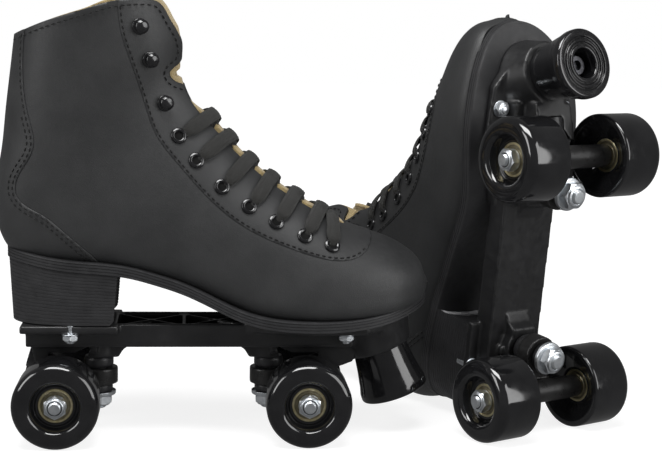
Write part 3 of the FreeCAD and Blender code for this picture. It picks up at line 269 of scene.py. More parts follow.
def add_piece(side, name, verts, faces, material, body, slot, replaces=(), uv=None, sharp=38):
    """Makes a piece from points in the skate's own frame (mm); a left skate gets the mirror image."""
    points = np.array(verts, float).reshape(-1, 3)
    if side == "left":
        points = points * np.array([1, -1, 1])
    matrix = np.array(PLACES[side])
    points = points @ matrix[:3, :3].T + matrix[:3, 3]
    mesh = bpy.data.meshes.new(side + "_" + name)
    ordered = [tuple(face)[::-1] for face in faces] if side == "left" else [tuple(face) for face in faces]
    mesh.from_pydata([tuple(point) for point in points], [], ordered)
    if uv is not None:
        layer = mesh.uv_layers.new(name="weave")
        for loop in mesh.loops:
            layer.data[loop.index].uv = uv[loop.vertex_index]
    mesh.materials.append(MATERIALS[material])
    mesh.shade_smooth()
    mesh.set_sharp_from_angle(angle=math.radians(sharp))
    mesh.update()
    piece = bpy.data.objects.new(side + "_" + name, mesh)
    bpy.context.scene.collection.objects.link(piece)
    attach(piece, side + "_" + body)
    if replaces:
        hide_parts(*[side + "_" + node for node in replaces])
    return piece


class Bundle:
    """Several meshes gathered into one piece."""

    def __init__(self):
        self.verts = []
        self.faces = []
        self.uv = []

    def add(self, verts, faces, uv=None):
        start = len(self.verts)
        self.verts += [tuple(vert) for vert in verts]
        self.faces += [tuple(start + index for index in face) for face in faces]
        self.uv += list(uv) if uv is not None else [(0.0, 0.0)] * len(verts)

    def turn(self, profile, matrix, *how, **more):
        """Adds a turned ring or pin."""
        self.add(*lathe(profile, matrix, *how, **more))

    def nut(self, *sizes):
        """Adds a hexagon nut."""
        self.add(*hex_ring(*sizes))

    def piece(self, side, name, *how, **more):
        """The gathered meshes as one piece of a skate."""
        return add_piece(side, name, self.verts, self.faces, *how, **more)


def axis_frame(origin, along):
    """A 4x4 whose Y axis runs along the given direction."""
    y = Vector(along).normalized()
    x = Vector((1, 0, 0)) if abs(y.x) < 0.9 else Vector((0, 0, 1))
    x = (x - y * x.dot(y)).normalized()
    z = x.cross(y)
    return Matrix.Translation(Vector(origin)) @ Matrix((x, y, z)).transposed().to_4x4()


def round_corners(points):
    """A profile's points, where a corner given with a third number is rounded to that radius."""
    result = []
    for index, point in enumerate(points):
        if len(point) < 3 or index in (0, len(points) - 1):
            result.append(tuple(point[:2]))
            continue
        here = Vector(point[:2])
        before = Vector(points[index - 1][:2]) - here
        after = Vector(points[index + 1][:2]) - here
        half = before.angle(after) / 2
        reach = min(point[2] / math.tan(half), before.length * 0.49, after.length * 0.49)
        radius = reach * math.tan(half)
        centre = here + (before.normalized() + after.normalized()).normalized() * (radius / math.sin(half))
        first = here + before.normalized() * reach - centre
        turn = first.angle_signed(here + after.normalized() * reach - centre, 0)
        steps = max(2, int(abs(math.degrees(turn)) / 9))
        for step in range(steps + 1):
            angle = -turn * step / steps
            result.append((centre.x + first.x * math.cos(angle) - first.y * math.sin(angle),
                           centre.y + first.x * math.sin(angle) + first.y * math.cos(angle)))
    return result


def ring_faces(rows, count, closed=False):
    """Faces between rings of points, and from the last ring to the first when closed."""
    faces = []
    for row in range(rows if closed else rows - 1):
        following = (row + 1) % rows
        for step in range(count):
            ahead = (step + 1) % count
            faces.append((row * count + step, row * count + ahead,
                          following * count + ahead, following * count + step))
    return faces


def lathe(profile, matrix, segments=64, closed=True):
    """A ring of the (radius, along) profile about the matrix's Y axis."""
    points = round_corners(profile)
    verts = []
    for radius, along in points:
        for step in range(segments):
            angle = 2 * math.pi * step / segments
            verts.append(matrix @ Vector((radius * math.cos(angle), along, radius * math.sin(angle))))
    return verts, ring_faces(len(points), segments, closed)


def hex_ring(flats, bore, height, matrix, chamfer=0.5):
    """A hexagon nut with chamfered corners and a bore, about the matrix's Y axis."""
    segments = 60
    corner = flats / 2 / math.cos(math.radians(30))
    rings = []
    for level, which in ((0, "bore"), (0, "rim"), (0, "low"),
                         (height, "high"), (height, "rim"), (height, "bore")):
        ring = []
        for step in range(segments):
            angle = 2 * math.pi * step / segments
            folded = (angle + math.pi / 6) % (math.pi / 3) - math.pi / 6
            reach = flats / 2 / math.cos(folded)
            drop = max(0.0, reach - flats / 2 * 1.01) / (corner - flats / 2) * chamfer * 1.6
            radius = {"bore": bore, "rim": flats / 2 * 0.97}.get(which, reach)
            along = level + (drop if which == "low" else -drop if which == "high" else 0)
            ring.append(matrix @ Vector((radius * math.cos(angle), along, radius * math.sin(angle))))
        rings.append(ring)
    return [vert for ring in rings for vert in ring], ring_faces(len(rings), segments, True)


# ------------------------------------------------------------------ the boot's surface

# Rings round the right boot, toe to cuff, as in the CAD form: front or top point (x, z), sole or
# back point (x, z), half width, share of the way up where it is widest, shift to the inner side,
# squareness at the sole or back.
RINGS = np.array([
    (156.5, 103, 156.5, 89, 11, 0.45, 6, 2.2),
    (153.5, 110.5, 153.5, 84, 20, 0.42, 5, 2.5),
    (147, 118, 147, 80, 29, 0.38, 4, 2.8),
    (136, 125, 136, 77, 36.5, 0.34, 2.5, 3.2),
    (120, 131, 120, 75, 42, 0.32, 1.5, 3.6),
    (102, 137, 100, 74, 45.5, 0.31, 0.5, 3.8),
    (83, 146.5, 76, 74, 45, 0.31, -1, 3.8),
    (64, 158, 50, 76, 41.5, 0.34, -2, 3.6),
    (46, 171.5, 22, 86, 37, 0.38, -3, 3.4),
    (32, 185, -8, 98, 34.5, 0.42, -3, 3.2),
    (20, 199, -42, 106, 33.5, 0.44, -2, 3.2),
    (11, 210, -77, 109, 33.5, 0.46, -1, 3),
    (5, 220, -106, 115, 34, 0.48, 0, 2.6),
    (1.5, 229, -118.5, 138, 34.5, 0.5, 0, 2.3),
    (0, 238, -118.8, 160, 36, 0.5, 0, 2.2),
    (0, 248, -115, 182, 38, 0.5, 0, 2.2),
    (-1, 258, -112.3, 206, 40, 0.5, 0, 2.2),
    (-4, 268, -109.2, 231, 42, 0.5, 0, 2.2),
    (-8, 278, -106.4, 254, 43.5, 0.5, 0, 2.2),
    (-11, 292, -103, 280, 44.5, 0.5, 0, 2.2),
])
SOLE_LINE = [(-130, 123), (-107, 120), (-80, 115.5), (-57, 113.5), (-35, 111), (-19, 107), (0, 101),
             (19, 92.5), (36, 85), (55, 80.5), (75, 79), (95, 79), (115, 80.5), (132, 83.5),
             (147, 88), (170, 97)]
SOLE_OUTLINE = [(-112, 0), (-107, 16), (-94, 26), (-75, 31), (-40, 29.5), (0, 30), (35, 36.5),
                (65, 43.5), (90, 46.5), (115, 44.5), (135, 37.5), (150, 25), (157, 7),
                (153.5, -12), (143, -26), (125, -38), (100, -45.5), (70, -47.5), (35, -43),
                (0, -37), (-40, -33), (-75, -32), (-94, -26.5), (-107, -16)]
CUFF_LINE = [(-140, 239), (-108.5, 252.6), (-82, 263.2), (-59, 270.4), (-45, 274.6), (-27, 276.6),
             (-17, 275), (-10, 265), (-4, 254.5), (-2, 244), (-4, 238), (-10, 231.5), (-7, 227),
             (1.5, 223.4), (8, 215), (13, 208), (40, 200)]
EYESTAY_LINE = [(-43, 300), (-41, 273), (-39, 257), (-33, 238), (-25, 213), (-18, 194), (-6, 178), (10, 160),
                (29, 143), (50, 131), (71, 123), (92, 117.5), (106, 118), (114, 122), (119, 129), (121, 150)]
COUNTER_LINE = [(-96, 290), (-97, 262), (-98.3, 250.5), (-98.9, 234.2), (-97.8, 215.6), (-94.2, 199),
                (-92.4, 186.7), (-97.3, 175.3), (-104, 162.8), (-104, 155.6), (-100.4, 150.5), (-88, 143.5),
                (-72.6, 131.4), (-62.3, 122.3), (-54.5, 114.4), (-48, 104)]
EYELETS = [(-4, 193), (7, 178), (23, 162), (40, 150), (57, 140.5), (75, 132), (92, 126)]
HOOKS = [(-28, 260), (-22, 240), (-13, 213)]
VAMP_X = 104
THROAT_HALF = 13
LEATHER = 2.2
LINING = 2.6
LAYER_GAP = 0.15
LINING_TOE = 138
SOLE_TUCK = 1.5
TONGUE_HALF = 24
TONGUE_THICK = 4.5
TONGUE_LOW = -5.3
TONGUE_RIDGE = 6.5
TONGUE_NECK = 222
TONGUE_TOP = 262
TONGUE_TOE = 112
CELL = 2.0


def spline(points, count):
    """Points spread along a smooth natural spline through the given ones."""
    points = np.array(points, float)
    gaps = np.linalg.norm(np.diff(points[:, :2], axis=0), axis=1)
    knots = np.concatenate([[0], np.cumsum(gaps)])
    return natural(knots, points, np.linspace(0, knots[-1], count))


def natural(knots, values, where):
    """Values of the natural cubic spline through (knots, values) at the given places."""
    n = len(knots)
    h = np.diff(knots)
    system = np.zeros((n, n))
    right = np.zeros((n,) + values.shape[1:])
    system[0, 0] = system[-1, -1] = 1
    for i in range(1, n - 1):
        system[i, i - 1:i + 2] = h[i - 1], 2 * (h[i - 1] + h[i]), h[i]
        right[i] = 6 * ((values[i + 1] - values[i]) / h[i] - (values[i] - values[i - 1]) / h[i - 1])
    second = np.linalg.solve(system, right)
    place = np.clip(np.searchsorted(knots, where) - 1, 0, n - 2)
    a = (knots[place + 1] - where)[:, None]
    b = (where - knots[place])[:, None]
    step = h[place][:, None]
    values = values.reshape(n, -1)
    second = second.reshape(n, -1)
    return (second[place] * a ** 3 / (6 * step) + second[place + 1] * b ** 3 / (6 * step)
            + (values[place] / step - second[place] * step / 6) * a
            + (values[place + 1] / step - second[place + 1] * step / 6) * b)


def rounded_toe():
    """The rings with a few more that close the toe."""
    first = RINGS[0]
    extra = []
    middle = np.array([(first[1] + first[3]) / 2 - 1])
    for share, ahead in ((0.05, 1.9), (0.45, 1.6), (0.78, 0.95)):
        entry = first.copy()
        entry[0] += ahead
        entry[2] += ahead
        entry[1] = middle[0] + (first[1] - middle[0]) * share
        entry[3] = middle[0] + (first[3] - middle[0]) * share
        entry[4] = first[4] * share
        extra.append(entry)
    return np.vstack([extra, RINGS])


def boot_grid(rows, columns):
    """Points of the boot's surface: one row per ring, one column per angle round it."""
    rings = rounded_toe()
    middles = np.column_stack([(rings[:, 0] + rings[:, 2]) / 2, (rings[:, 1] + rings[:, 3]) / 2, rings[:, 4]])
    gaps = np.linalg.norm(np.diff(middles, axis=0), axis=1)
    knots = np.concatenate([[0], np.cumsum(gaps)])
    entries = natural(knots, rings, np.linspace(0, knots[-1], rows))
    angles = 2 * np.pi * np.arange(columns) / columns
    rise = np.cos(angles)
    aside = np.sin(angles)
    grid = np.zeros((rows, columns, 3))
    for row, (fx, fz, bx, bz, half, share, shift, square) in enumerate(entries):
        front = np.array([fx, 0, fz])
        back = np.array([bx, 0, bz])
        length = np.linalg.norm(front - back)
        way = (front - back) / length
        middle = back + way * (length * share)
        power = np.where(rise > 0, 2 / 2.2, 2 / square)
        reach = np.where(rise > 0, length * (1 - share), length * share)
        along = np.sign(rise) * np.abs(rise) ** power * reach
        across = np.sign(aside) * np.abs(aside) ** power * half
        grid[row] = middle + way * along[:, None]
        grid[row, :, 1] += shift * (1 - 0.6 * np.maximum(rise, 0)) + across
    return grid


def grid_normals(grid):
    """Outward normals of a grid that closes round its columns."""
    around = np.roll(grid, -1, axis=1) - np.roll(grid, 1, axis=1)
    along = np.gradient(grid, axis=0)
    normals = np.cross(around, along)
    normals /= np.maximum(np.linalg.norm(normals, axis=2, keepdims=True), 1e-9)
    centre = grid.mean(axis=1, keepdims=True)
    if np.sum(normals * (grid - centre)) < 0:
        normals = -normals
    return normals


BOOT_RUN = 420
BOOT_GIRTH = 300
ROWS = int(BOOT_RUN / CELL)
COLUMNS = int(BOOT_GIRTH / CELL)
GRID = boot_grid(ROWS, COLUMNS)
NORMALS = grid_normals(GRID)
FLAT = GRID.reshape(-1, 3)
FACING = np.tile(np.cos(2 * np.pi * np.arange(COLUMNS) / COLUMNS), ROWS)
FAR = 50
BASE_FACES = ring_faces(ROWS, COLUMNS)
SKIN = BVHTree.FromPolygons([Vector(point) for point in FLAT], BASE_FACES)


CLEAR_OF_BOOT = 90
NEAR_MIDDLE = 10


def on_skin(x, z, side):
    """The point of the boot's surface beside (x, z) and its outward normal."""
    spot, normal = SKIN.ray_cast(Vector((x, side * CLEAR_OF_BOOT, z)), Vector((0, -side, 0)))[:2]
    if spot is None:
        spot, normal = SKIN.find_nearest(Vector((x, side * NEAR_MIDDLE, z)))[:2]
    if normal.y * side < 0 and abs(normal.y) > 0.05:
        normal = -normal
    return spot, normal


def signed(points, line):
    """Distance of side-view points to a line, positive on its left as it runs."""
    line = spline(line, 160)
    start = line[:-1]
    step = line[1:] - start
    length = np.maximum((step ** 2).sum(axis=1), 1e-9)
    result = np.zeros(len(points))
    for first in range(0, len(points), 4000):
        block = points[first:first + 4000]
        offset = block[:, None, :] - start[None]
        share = np.clip((offset * step).sum(axis=2) / length, 0, 1)
        near = offset - share[..., None] * step
        distance = np.sqrt((near ** 2).sum(axis=2))
        best = distance.argmin(axis=1)
        rows = np.arange(len(block))
        chosen = offset[rows, best]
        cross = step[best, 0] * chosen[:, 1] - step[best, 1] * chosen[:, 0]
        result[first:first + 4000] = distance[rows, best] * np.sign(cross)
    return result


def clip(verts, faces, field):
    """Keeps what lies where the field is positive, cutting faces along its zero line."""
    points = [tuple(vert) for vert in verts]
    made = {}

    def crossing(a, b):
        key = (min(a, b), max(a, b))
        if key not in made:
            share = field[a] / (field[a] - field[b])
            points.append(tuple(np.array(verts[a]) + (np.array(verts[b]) - np.array(verts[a])) * share))
            made[key] = len(points) - 1
        return made[key]

    kept = []
    for face in faces:
        inside = [field[index] > 0 for index in face]
        if all(inside):
            kept.append(face)
            continue
        if not any(inside):
            continue
        polygon = []
        for index, vert in enumerate(face):
            following = face[(index + 1) % len(face)]
            if field[vert] > 0:
                polygon.append(vert)
            if (field[vert] > 0) != (field[following] > 0):
                polygon.append(crossing(vert, following))
        if len(polygon) > 2:
            kept.append(tuple(polygon))
    used = sorted({index for face in kept for index in face})
    renumber = {old: new for new, old in enumerate(used)}
    return [points[index] for index in used], [tuple(renumber[i] for i in face) for face in kept]


def side_fields():
    """Distances from the boot's boundary lines at every point of the grid."""
    view = FLAT[:, [0, 2]]
    over_sole = signed(view, SOLE_LINE)
    under_cuff = -signed(view, CUFF_LINE)
    past_vamp = np.maximum(view[:, 0] - (VAMP_X - THROAT_HALF), 0)
    throat = np.hypot(FLAT[:, 1], past_vamp) - THROAT_HALF
    throat = np.where(FACING > 0.2, throat, FAR)
    eyestay = -signed(view, EYESTAY_LINE)
    counter = signed(view, COUNTER_LINE)
    return over_sole, under_cuff, throat, eyestay, counter


OVER_SOLE, UNDER_CUFF, THROAT, EYESTAY, COUNTER = side_fields()


def solidify(piece, thickness):
    """Gives a sheet its thickness, inwards."""
    modifier = piece.modifiers.new("thickness", "SOLIDIFY")
    modifier.thickness = thickness * MM
    modifier.offset = -1
    modifier.use_even_offset = False
    modifier.use_rim = True


def lifted(distance):
    """The boot's grid moved outwards."""
    return (GRID + NORMALS * distance).reshape(-1, 3)


def upper_pieces(side):
    """The leather upper, its raised eyestay and heel counter, and the cloth lining inside it."""
    shell = np.minimum.reduce([OVER_SOLE + SOLE_TUCK, UNDER_CUFF, THROAT])
    verts, faces = clip(lifted(0), BASE_FACES, shell)
    solidify(add_piece(side, "upper_leather", verts, faces, "leather", "boot", "leather", ["upper"]), LEATHER)
    for name, region, proud in (("eyestay", -EYESTAY, 0.35), ("heel_counter", -COUNTER, 0.5)):
        verts, faces = clip(lifted(proud), BASE_FACES, np.minimum(shell, region))
        solidify(add_piece(side, name + "_panel", verts, faces, "panel", "boot", "leather"), proud - 0.03)
    x = FLAT[:, 0]
    past_cuff = 0.4 + 3.8 * np.clip((x + 60) / 40, 0, 1)
    past_throat = -0.6 + 4.6 * np.clip((8 - x) / 10, 0, 1)
    lining = np.minimum.reduce([OVER_SOLE - 3, UNDER_CUFF + past_cuff, THROAT + past_throat, LINING_TOE - x])
    verts, faces = clip(lifted(-LEATHER - LAYER_GAP), BASE_FACES, lining)
    solidify(add_piece(side, "lining_cloth", verts, faces, "lining", "boot", "lining", ["lining"]), LINING)


def tongue_piece(side):
    """The padded tongue: raised between the facings, lower beside them and up behind the cuff's front."""
    x, y, z = FLAT.T
    aside = np.abs(y)
    ridge = np.clip((12.3 - aside) / 3.6, 0, 1) * np.clip((TONGUE_NECK - z) / 22, 0, 1)
    ridge = ridge * ridge * (3 - 2 * ridge) * np.clip((TONGUE_TOE - x) / 12, 0, 1)
    level = TONGUE_LOW + TONGUE_RIDGE * ridge - 3.4 * np.clip((z - TONGUE_NECK) / 30, 0, 1)
    top = TONGUE_TOP - z - 9 * (aside / TONGUE_HALF) ** 2
    field = np.minimum.reduce([TONGUE_HALF - aside, (FACING - 0.25) * 60, TONGUE_TOE - x, top])
    verts, faces = clip((GRID + NORMALS * level.reshape(ROWS, COLUMNS, 1)).reshape(-1, 3), BASE_FACES, field)
    piece = add_piece(side, "tongue_pad", verts, faces, "lining", "boot", "lining", ["tongue"])
    solidify(piece, TONGUE_THICK)


# ------------------------------------------------------------------ seams, eyelets, laces

def walk(line, step):
    """Evenly spaced side-view points along a smooth line."""
    dense = spline(line, 400)
    gaps = np.linalg.norm(np.diff(dense, axis=0), axis=1)
    run = np.concatenate([[0], np.cumsum(gaps)])
    places = np.arange(step / 2, run[-1], step)
    return [(np.interp(at, run, dense[:, 0]), np.interp(at, run, dense[:, 1])) for at in places]


def offset_line(line, distance):
    """A side-view line moved to its left."""
    dense = spline(line, 60)
    run = np.gradient(dense, axis=0)
    run /= np.linalg.norm(run, axis=1, keepdims=True)
    return dense + np.column_stack([-run[:, 1], run[:, 0]]) * distance


def stitch(bundle, spot, along, normal, length=2.7, width=0.52):
    """One stitch: a short rounded thread lying on the leather."""
    y = along.normalized()
    x = normal.normalized().cross(y).normalized()
    z = x.cross(y)
    if z.dot(normal) < 0:
        z = -z
    rings = [(-0.5, 0.0, -0.3), (-0.4, 0.8, 0.1), (0.0, 1.0, 0.25), (0.4, 0.8, 0.1), (0.5, 0.0, -0.3)]
    verts = []
    for place, swell, lift in rings:
        for step in range(6):
            angle = math.pi / 3 * step
            verts.append(spot + y * (place * length) + x * (math.cos(angle) * width * swell)
                         + z * (math.sin(angle) * width * swell * 0.8 + lift * 0.8))
    bundle.add(verts, ring_faces(len(rings), 6))


def stitched_line(bundle, line, lift, keep, step=3.9, length=2.7):
    """A row of stitches along a side-view line on both sides of the boot."""
    for hand in (-1, 1):
        spots = []
        for x, z in walk(line, step):
            spot, normal = on_skin(x, z, hand)
            hit = abs(spot.x - x) < 0.5 and abs(spot.z - z) < 0.5 and abs(spot.y) > THROAT_HALF + 1
            spots.append((spot, normal, hit and keep(x, z)))
        for index, (spot, normal, kept) in enumerate(spots):
            near = spots[min(index + 1, len(spots) - 1)][0] - spots[max(index - 1, 0)][0]
            if kept and 0.1 < near.length < 4 * step:
                stitch(bundle, spot + normal * lift, near, normal, length)


def seam_stitches(side):
    """All the stitching on the leather."""
    bundle = Bundle()

    def in_shell(x, z):
        point = np.array([[x, z]])
        return signed(point, SOLE_LINE)[0] > 1.5 and signed(point, CUFF_LINE)[0] < -2

    stitched_line(bundle, offset_line(EYESTAY_LINE, 1.6), 0.5, in_shell)
    for gap, top in ((1.6, 300), (4.2, 205)):
        stitched_line(bundle, offset_line(COUNTER_LINE, -gap), 0.6, lambda x, z: z < top and in_shell(x, z))
    stitched_line(bundle, offset_line(CUFF_LINE, -3.4), 0.85,
                  lambda x, z: in_shell(x, z) and (x > -40 or z > 250))
    bundle.piece(side, "stitching", "stitch", "boot", "leather")


EYELET_LIFT = 0.7


def eyelet_pieces(side):
    """Black enamelled eyelet rings, near-black discs of painted shade filling their holes, and domed lace
    hooks.
    """
    rings, hole_shade_discs, hooks = Bundle(), Bundle(), Bundle()
    for x, z in EYELETS:
        for hand in (-1, 1):
            spot, normal = on_skin(x, z, hand)
            matrix = axis_frame(spot + normal * EYELET_LIFT, normal)
            rings.turn([(2.6, -1.2), (2.6, 0.9, 0.5), (3.6, 1.5, 0.8), (4.9, 0.9, 0.7), (5.1, -0.2)],
                       matrix, 32)
            # A thin near-black disc across each ring's opening: painted shade where the hole looks dark.
            hole_shade_discs.turn([(0.01, 0.1), (2.7, 0.1), (2.7, -0.3), (0.01, -0.3)], matrix, 24)
    for x, z in HOOKS:
        for hand in (-1, 1):
            spot, normal = on_skin(x, z, hand)
            matrix = axis_frame(spot + normal * EYELET_LIFT, normal)
            hooks.turn([(0.01, -0.2), (5.0, -0.2), (5.2, 0.7, 0.5), (4.0, 1.2, 0.5), (2.6, 1.6, 0.4),
                        (2.6, 2.6, 0.4), (4.4, 3.0, 0.6), (4.5, 4.3, 1.2), (3.0, 5.8, 1.6),
                        (0.01, 6.3)], matrix, 40)
    rings.piece(side, "eyelet_rings", "black_enamel", "boot", "black_enamel", ["eyelets"])
    # The painted-shade discs go in the near-black hole material.
    hole_shade_discs.piece(side, "eyelet_hole_shade_discs", "hole", "boot", "black_enamel")
    hooks.piece(side, "lace_hooks", "black_enamel", "boot", "black_enamel", ["hooks"])


def grid_place(spot):
    """The row and signed column of the grid point nearest a place on the boot."""
    index = int(((FLAT - np.array(spot)) ** 2).sum(axis=1).argmin())
    row, column = divmod(index, COLUMNS)
    return row, column - COLUMNS if column > COLUMNS / 2 else column


def grid_point(row, column):
    """Surface point and normal at a fractional row and column."""
    column = column % COLUMNS
    low_row = int(min(max(row, 0), ROWS - 2))
    low_col = int(column)
    down = row - low_row
    across = column - low_col
    corners = [(low_row, low_col, (1 - down) * (1 - across)), (low_row + 1, low_col, down * (1 - across)),
               (low_row, (low_col + 1) % COLUMNS, (1 - down) * across),
               (low_row + 1, (low_col + 1) % COLUMNS, down * across)]
    spot = sum(GRID[r, c] * weight for r, c, weight in corners)
    normal = sum(NORMALS[r, c] * weight for r, c, weight in corners)
    return Vector(spot), Vector(normal).normalized()


LACE_HALF = 4.7
LACE_THICK = 1.7


def smooth_step(value):
    """0 to 1 with soft ends."""
    value = min(max(value, 0.0), 1.0)
    return value * value * (3 - 2 * value)


def strap_height(across, start, over, tucked):
    """How far a strap lies off the leather, by its distance across the boot from the middle."""
    rise = -1.4 + 3.7 * smooth_step((start - across) / 2.6)
    crossing = over * smooth_step((13 - abs(across)) / 9)
    if tucked:
        return rise + crossing - 6.0 * smooth_step((-6.0 - across) / 7.5)
    return rise + crossing - 3.7 * smooth_step((-(start - 2.6) - across) / 2.6)


def lace_strap(bundle, start, end, over, tucked):
    """A flat woven strap: up out of an eyelet, across, and under the far facing or down the far eyelet."""
    (row_a, col_a), (row_b, col_b) = start, end
    steps = 60
    hand = math.copysign(1, grid_point(row_a, col_a)[0].y)
    first = grid_point(row_a, col_a)[0].y * hand
    path = []
    for step in range(steps + 1):
        share = step / steps
        spot, normal = grid_point(row_a + (row_b - row_a) * share ** 0.72, col_a + (col_b - col_a) * share)
        across = spot.y * hand
        if tucked and across < -18.5:
            break
        near = min(abs(first - across), 99 if tucked else abs(first + across))
        path.append((spot + normal * strap_height(across, first, over, tucked), normal, near))
    verts = []
    uv = []
    travelled = 0.0
    section = 40
    for index, (spot, normal, near) in enumerate(path):
        ahead = path[min(index + 1, len(path) - 1)][0]
        behind = path[max(index - 1, 0)][0]
        travelled += (spot - path[index - 1][0]).length if index else 0.0
        along = (ahead - behind).normalized()
        aside = along.cross(normal).normalized()
        out = aside.cross(along).normalized()
        width = LACE_HALF * (0.56 + 0.44 * smooth_step(near / 5.0))
        for step in range(section):
            angle = 2 * math.pi * step / section
            across = math.copysign(abs(math.cos(angle)) ** 0.55, math.cos(angle))
            level = math.copysign(abs(math.sin(angle)) ** 0.7, math.sin(angle))
            ridge = 0.17 * math.cos(across * 19) * min(max(level - 0.2, 0) * 3, 1)
            crown = 0.45 * (1 - across ** 2)
            verts.append(spot + aside * (across * width) + out * (level * LACE_THICK / 2 + ridge + crown))
            uv.append((across * width * 1.6, travelled * 1.6))
    last = len(path) - 1
    faces = ring_faces(last + 1, section)
    faces.append(tuple(range(section))[::-1])
    faces.append(tuple(last * section + step for step in range(section)))
    bundle.add(verts, faces, uv)


def lace_piece(side):
    """The lace: each run leaves an eyelet, crosses the tongue and tucks under the far facing, lower down."""
    bundle = Bundle()
    places = {(index, hand): grid_place(on_skin(x, z, hand)[0])
              for index, (x, z) in enumerate(EYELETS) for hand in (-1, 1)}
    lowest = len(EYELETS) - 1
    lace_strap(bundle, places[lowest, -1], places[lowest, 1], 0.0, False)
    for index in range(lowest):
        for hand, over in ((-1, 2.0), (1, 0.0)):
            lace_strap(bundle, places[index, hand], places[index + 1, -hand], over, True)
    bundle.piece(side, "lace", "lace", "boot", "lace", ["laces"], uv=bundle.uv, sharp=60)


# ------------------------------------------------------------------ sole and heel

def outline_points(count, grow=0.0):
    """The sole's outline as evenly spaced points with their outward directions."""
    loop = SOLE_OUTLINE + SOLE_OUTLINE[:1]
    padded = SOLE_OUTLINE[-4:] + loop + SOLE_OUTLINE[1:5]
    dense = spline(padded, 1200)
    start = ((dense - np.array(SOLE_OUTLINE[0])) ** 2).sum(axis=1)
    first = int(start[:600].argmin())
    last = 600 + int(start[600:].argmin())
    dense = dense[first:last + 1]
    gaps = np.linalg.norm(np.diff(dense, axis=0), axis=1)
    run = np.concatenate([[0], np.cumsum(gaps)])
    at = np.linspace(0, run[-1], count, endpoint=False)
    points = np.column_stack([np.interp(at, run, dense[:, 0]), np.interp(at, run, dense[:, 1])])
    tangent = np.roll(points, -1, axis=0) - np.roll(points, 1, axis=0)
    tangent /= np.linalg.norm(tangent, axis=1, keepdims=True)
    out = np.column_stack([tangent[:, 1], -tangent[:, 0]])
    if np.sum(out * (points - points.mean(axis=0))) < 0:
        out = -out
    return points + out * grow, out


SOLE_DENSE = spline(SOLE_LINE, 400)


SOLE_THICK = 7.0
PLATE_TOP = 73.0
SOLE_BACK, SOLE_TOE = -118, 157


def sole_height(x):
    """Height of the sole line at x."""
    return np.interp(np.clip(x, SOLE_BACK, SOLE_TOE), SOLE_DENSE[:, 0], SOLE_DENSE[:, 1])


def stacked(side, name, outline_at, levels, material, slot, replaces, cap_rings=8):
    """A solid made of stacked outlines, closed at the bottom and top by shrinking rings."""
    rings = [outline_at(share, push) for share, push in levels]
    count = len(rings[0])

    def shrunk(ring, share):
        return ring * np.array([1, share, 1])

    rows = [shrunk(rings[0], share) for share in np.linspace(0.0, 1, cap_rings)[:-1]]
    rows += rings
    rows += [shrunk(rings[-1], share) for share in np.linspace(1, 0.0, cap_rings)[1:]]
    verts = [tuple(point) for row in rows for point in row]
    faces = ring_faces(len(rows), count)
    return add_piece(side, name, verts, faces, material, "boot", slot, replaces, sharp=32)


def outsole_piece(side):
    """The outsole with three ridges round its edge."""
    count = 420
    points, out = outline_points(count, 0.3)

    def level(share, push):
        x = points[:, 0] + out[:, 0] * push
        y = points[:, 1] + out[:, 1] * push
        top = sole_height(points[:, 0])
        return np.column_stack([x, y, top - SOLE_THICK * (1 - share)])

    levels = [(0.0, -1.4), (0.03, -0.5)]
    ridges = 3
    for ridge in range(ridges):
        base = 0.06 + ridge * 0.27
        levels += [(base + 0.02, 0.0), (base + 0.21, 0.05), (base + 0.225, -0.4), (base + 0.262, -0.4)]
    levels += [(0.88, 0.1), (0.96, 0.05), (1.0, -0.5), (1.0, -2.5)]
    stacked(side, "outsole_ridged", level, levels, "sole_rubber", "sole_rubber", ["outsole"])


HEEL_FRONT = -41.0
HEEL_HOLLOW = 5.0
HEEL_MIDDLE = np.array([-78.0, 0.0])
HEEL_TAPER = 0.07
HEEL_TOE_ROUND = 5.0
BREAST_START = -47.5
BREAST_ROWS, BREAST_STEPS = 12, 24


def heel_outline(count):
    """The heel block's outline with a hollowed front, as points and outward directions."""
    points, out = outline_points(600, -0.6)
    keep = points[:, 0] <= HEEL_FRONT
    start = int(np.argmax(~keep))
    order = np.roll(np.arange(600), -start)
    ring = points[[i for i in order if keep[i]]]
    front = []
    first, last = ring[-1], ring[0]
    for share in np.linspace(0, 1, 60)[1:-1]:
        spot = first + (last - first) * share
        front.append((spot[0] - HEEL_HOLLOW * math.sin(math.pi * share) ** 0.7, spot[1]))
    loop = np.vstack([ring, front])
    gaps = np.linalg.norm(np.diff(np.vstack([loop, loop[:1]]), axis=0), axis=1)
    run = np.concatenate([[0], np.cumsum(gaps)])
    at = np.linspace(0, run[-1], count, endpoint=False)
    closed = np.vstack([loop, loop[:1]])
    even = np.column_stack([np.interp(at, run, closed[:, 0]), np.interp(at, run, closed[:, 1])])
    tangent = np.roll(even, -1, axis=0) - np.roll(even, 1, axis=0)
    tangent /= np.maximum(np.linalg.norm(tangent, axis=1, keepdims=True), 1e-9)
    out = np.column_stack([tangent[:, 1], -tangent[:, 0]])
    if np.sum(out * (even - even.mean(axis=0))) < 0:
        out = -out
    return even, out


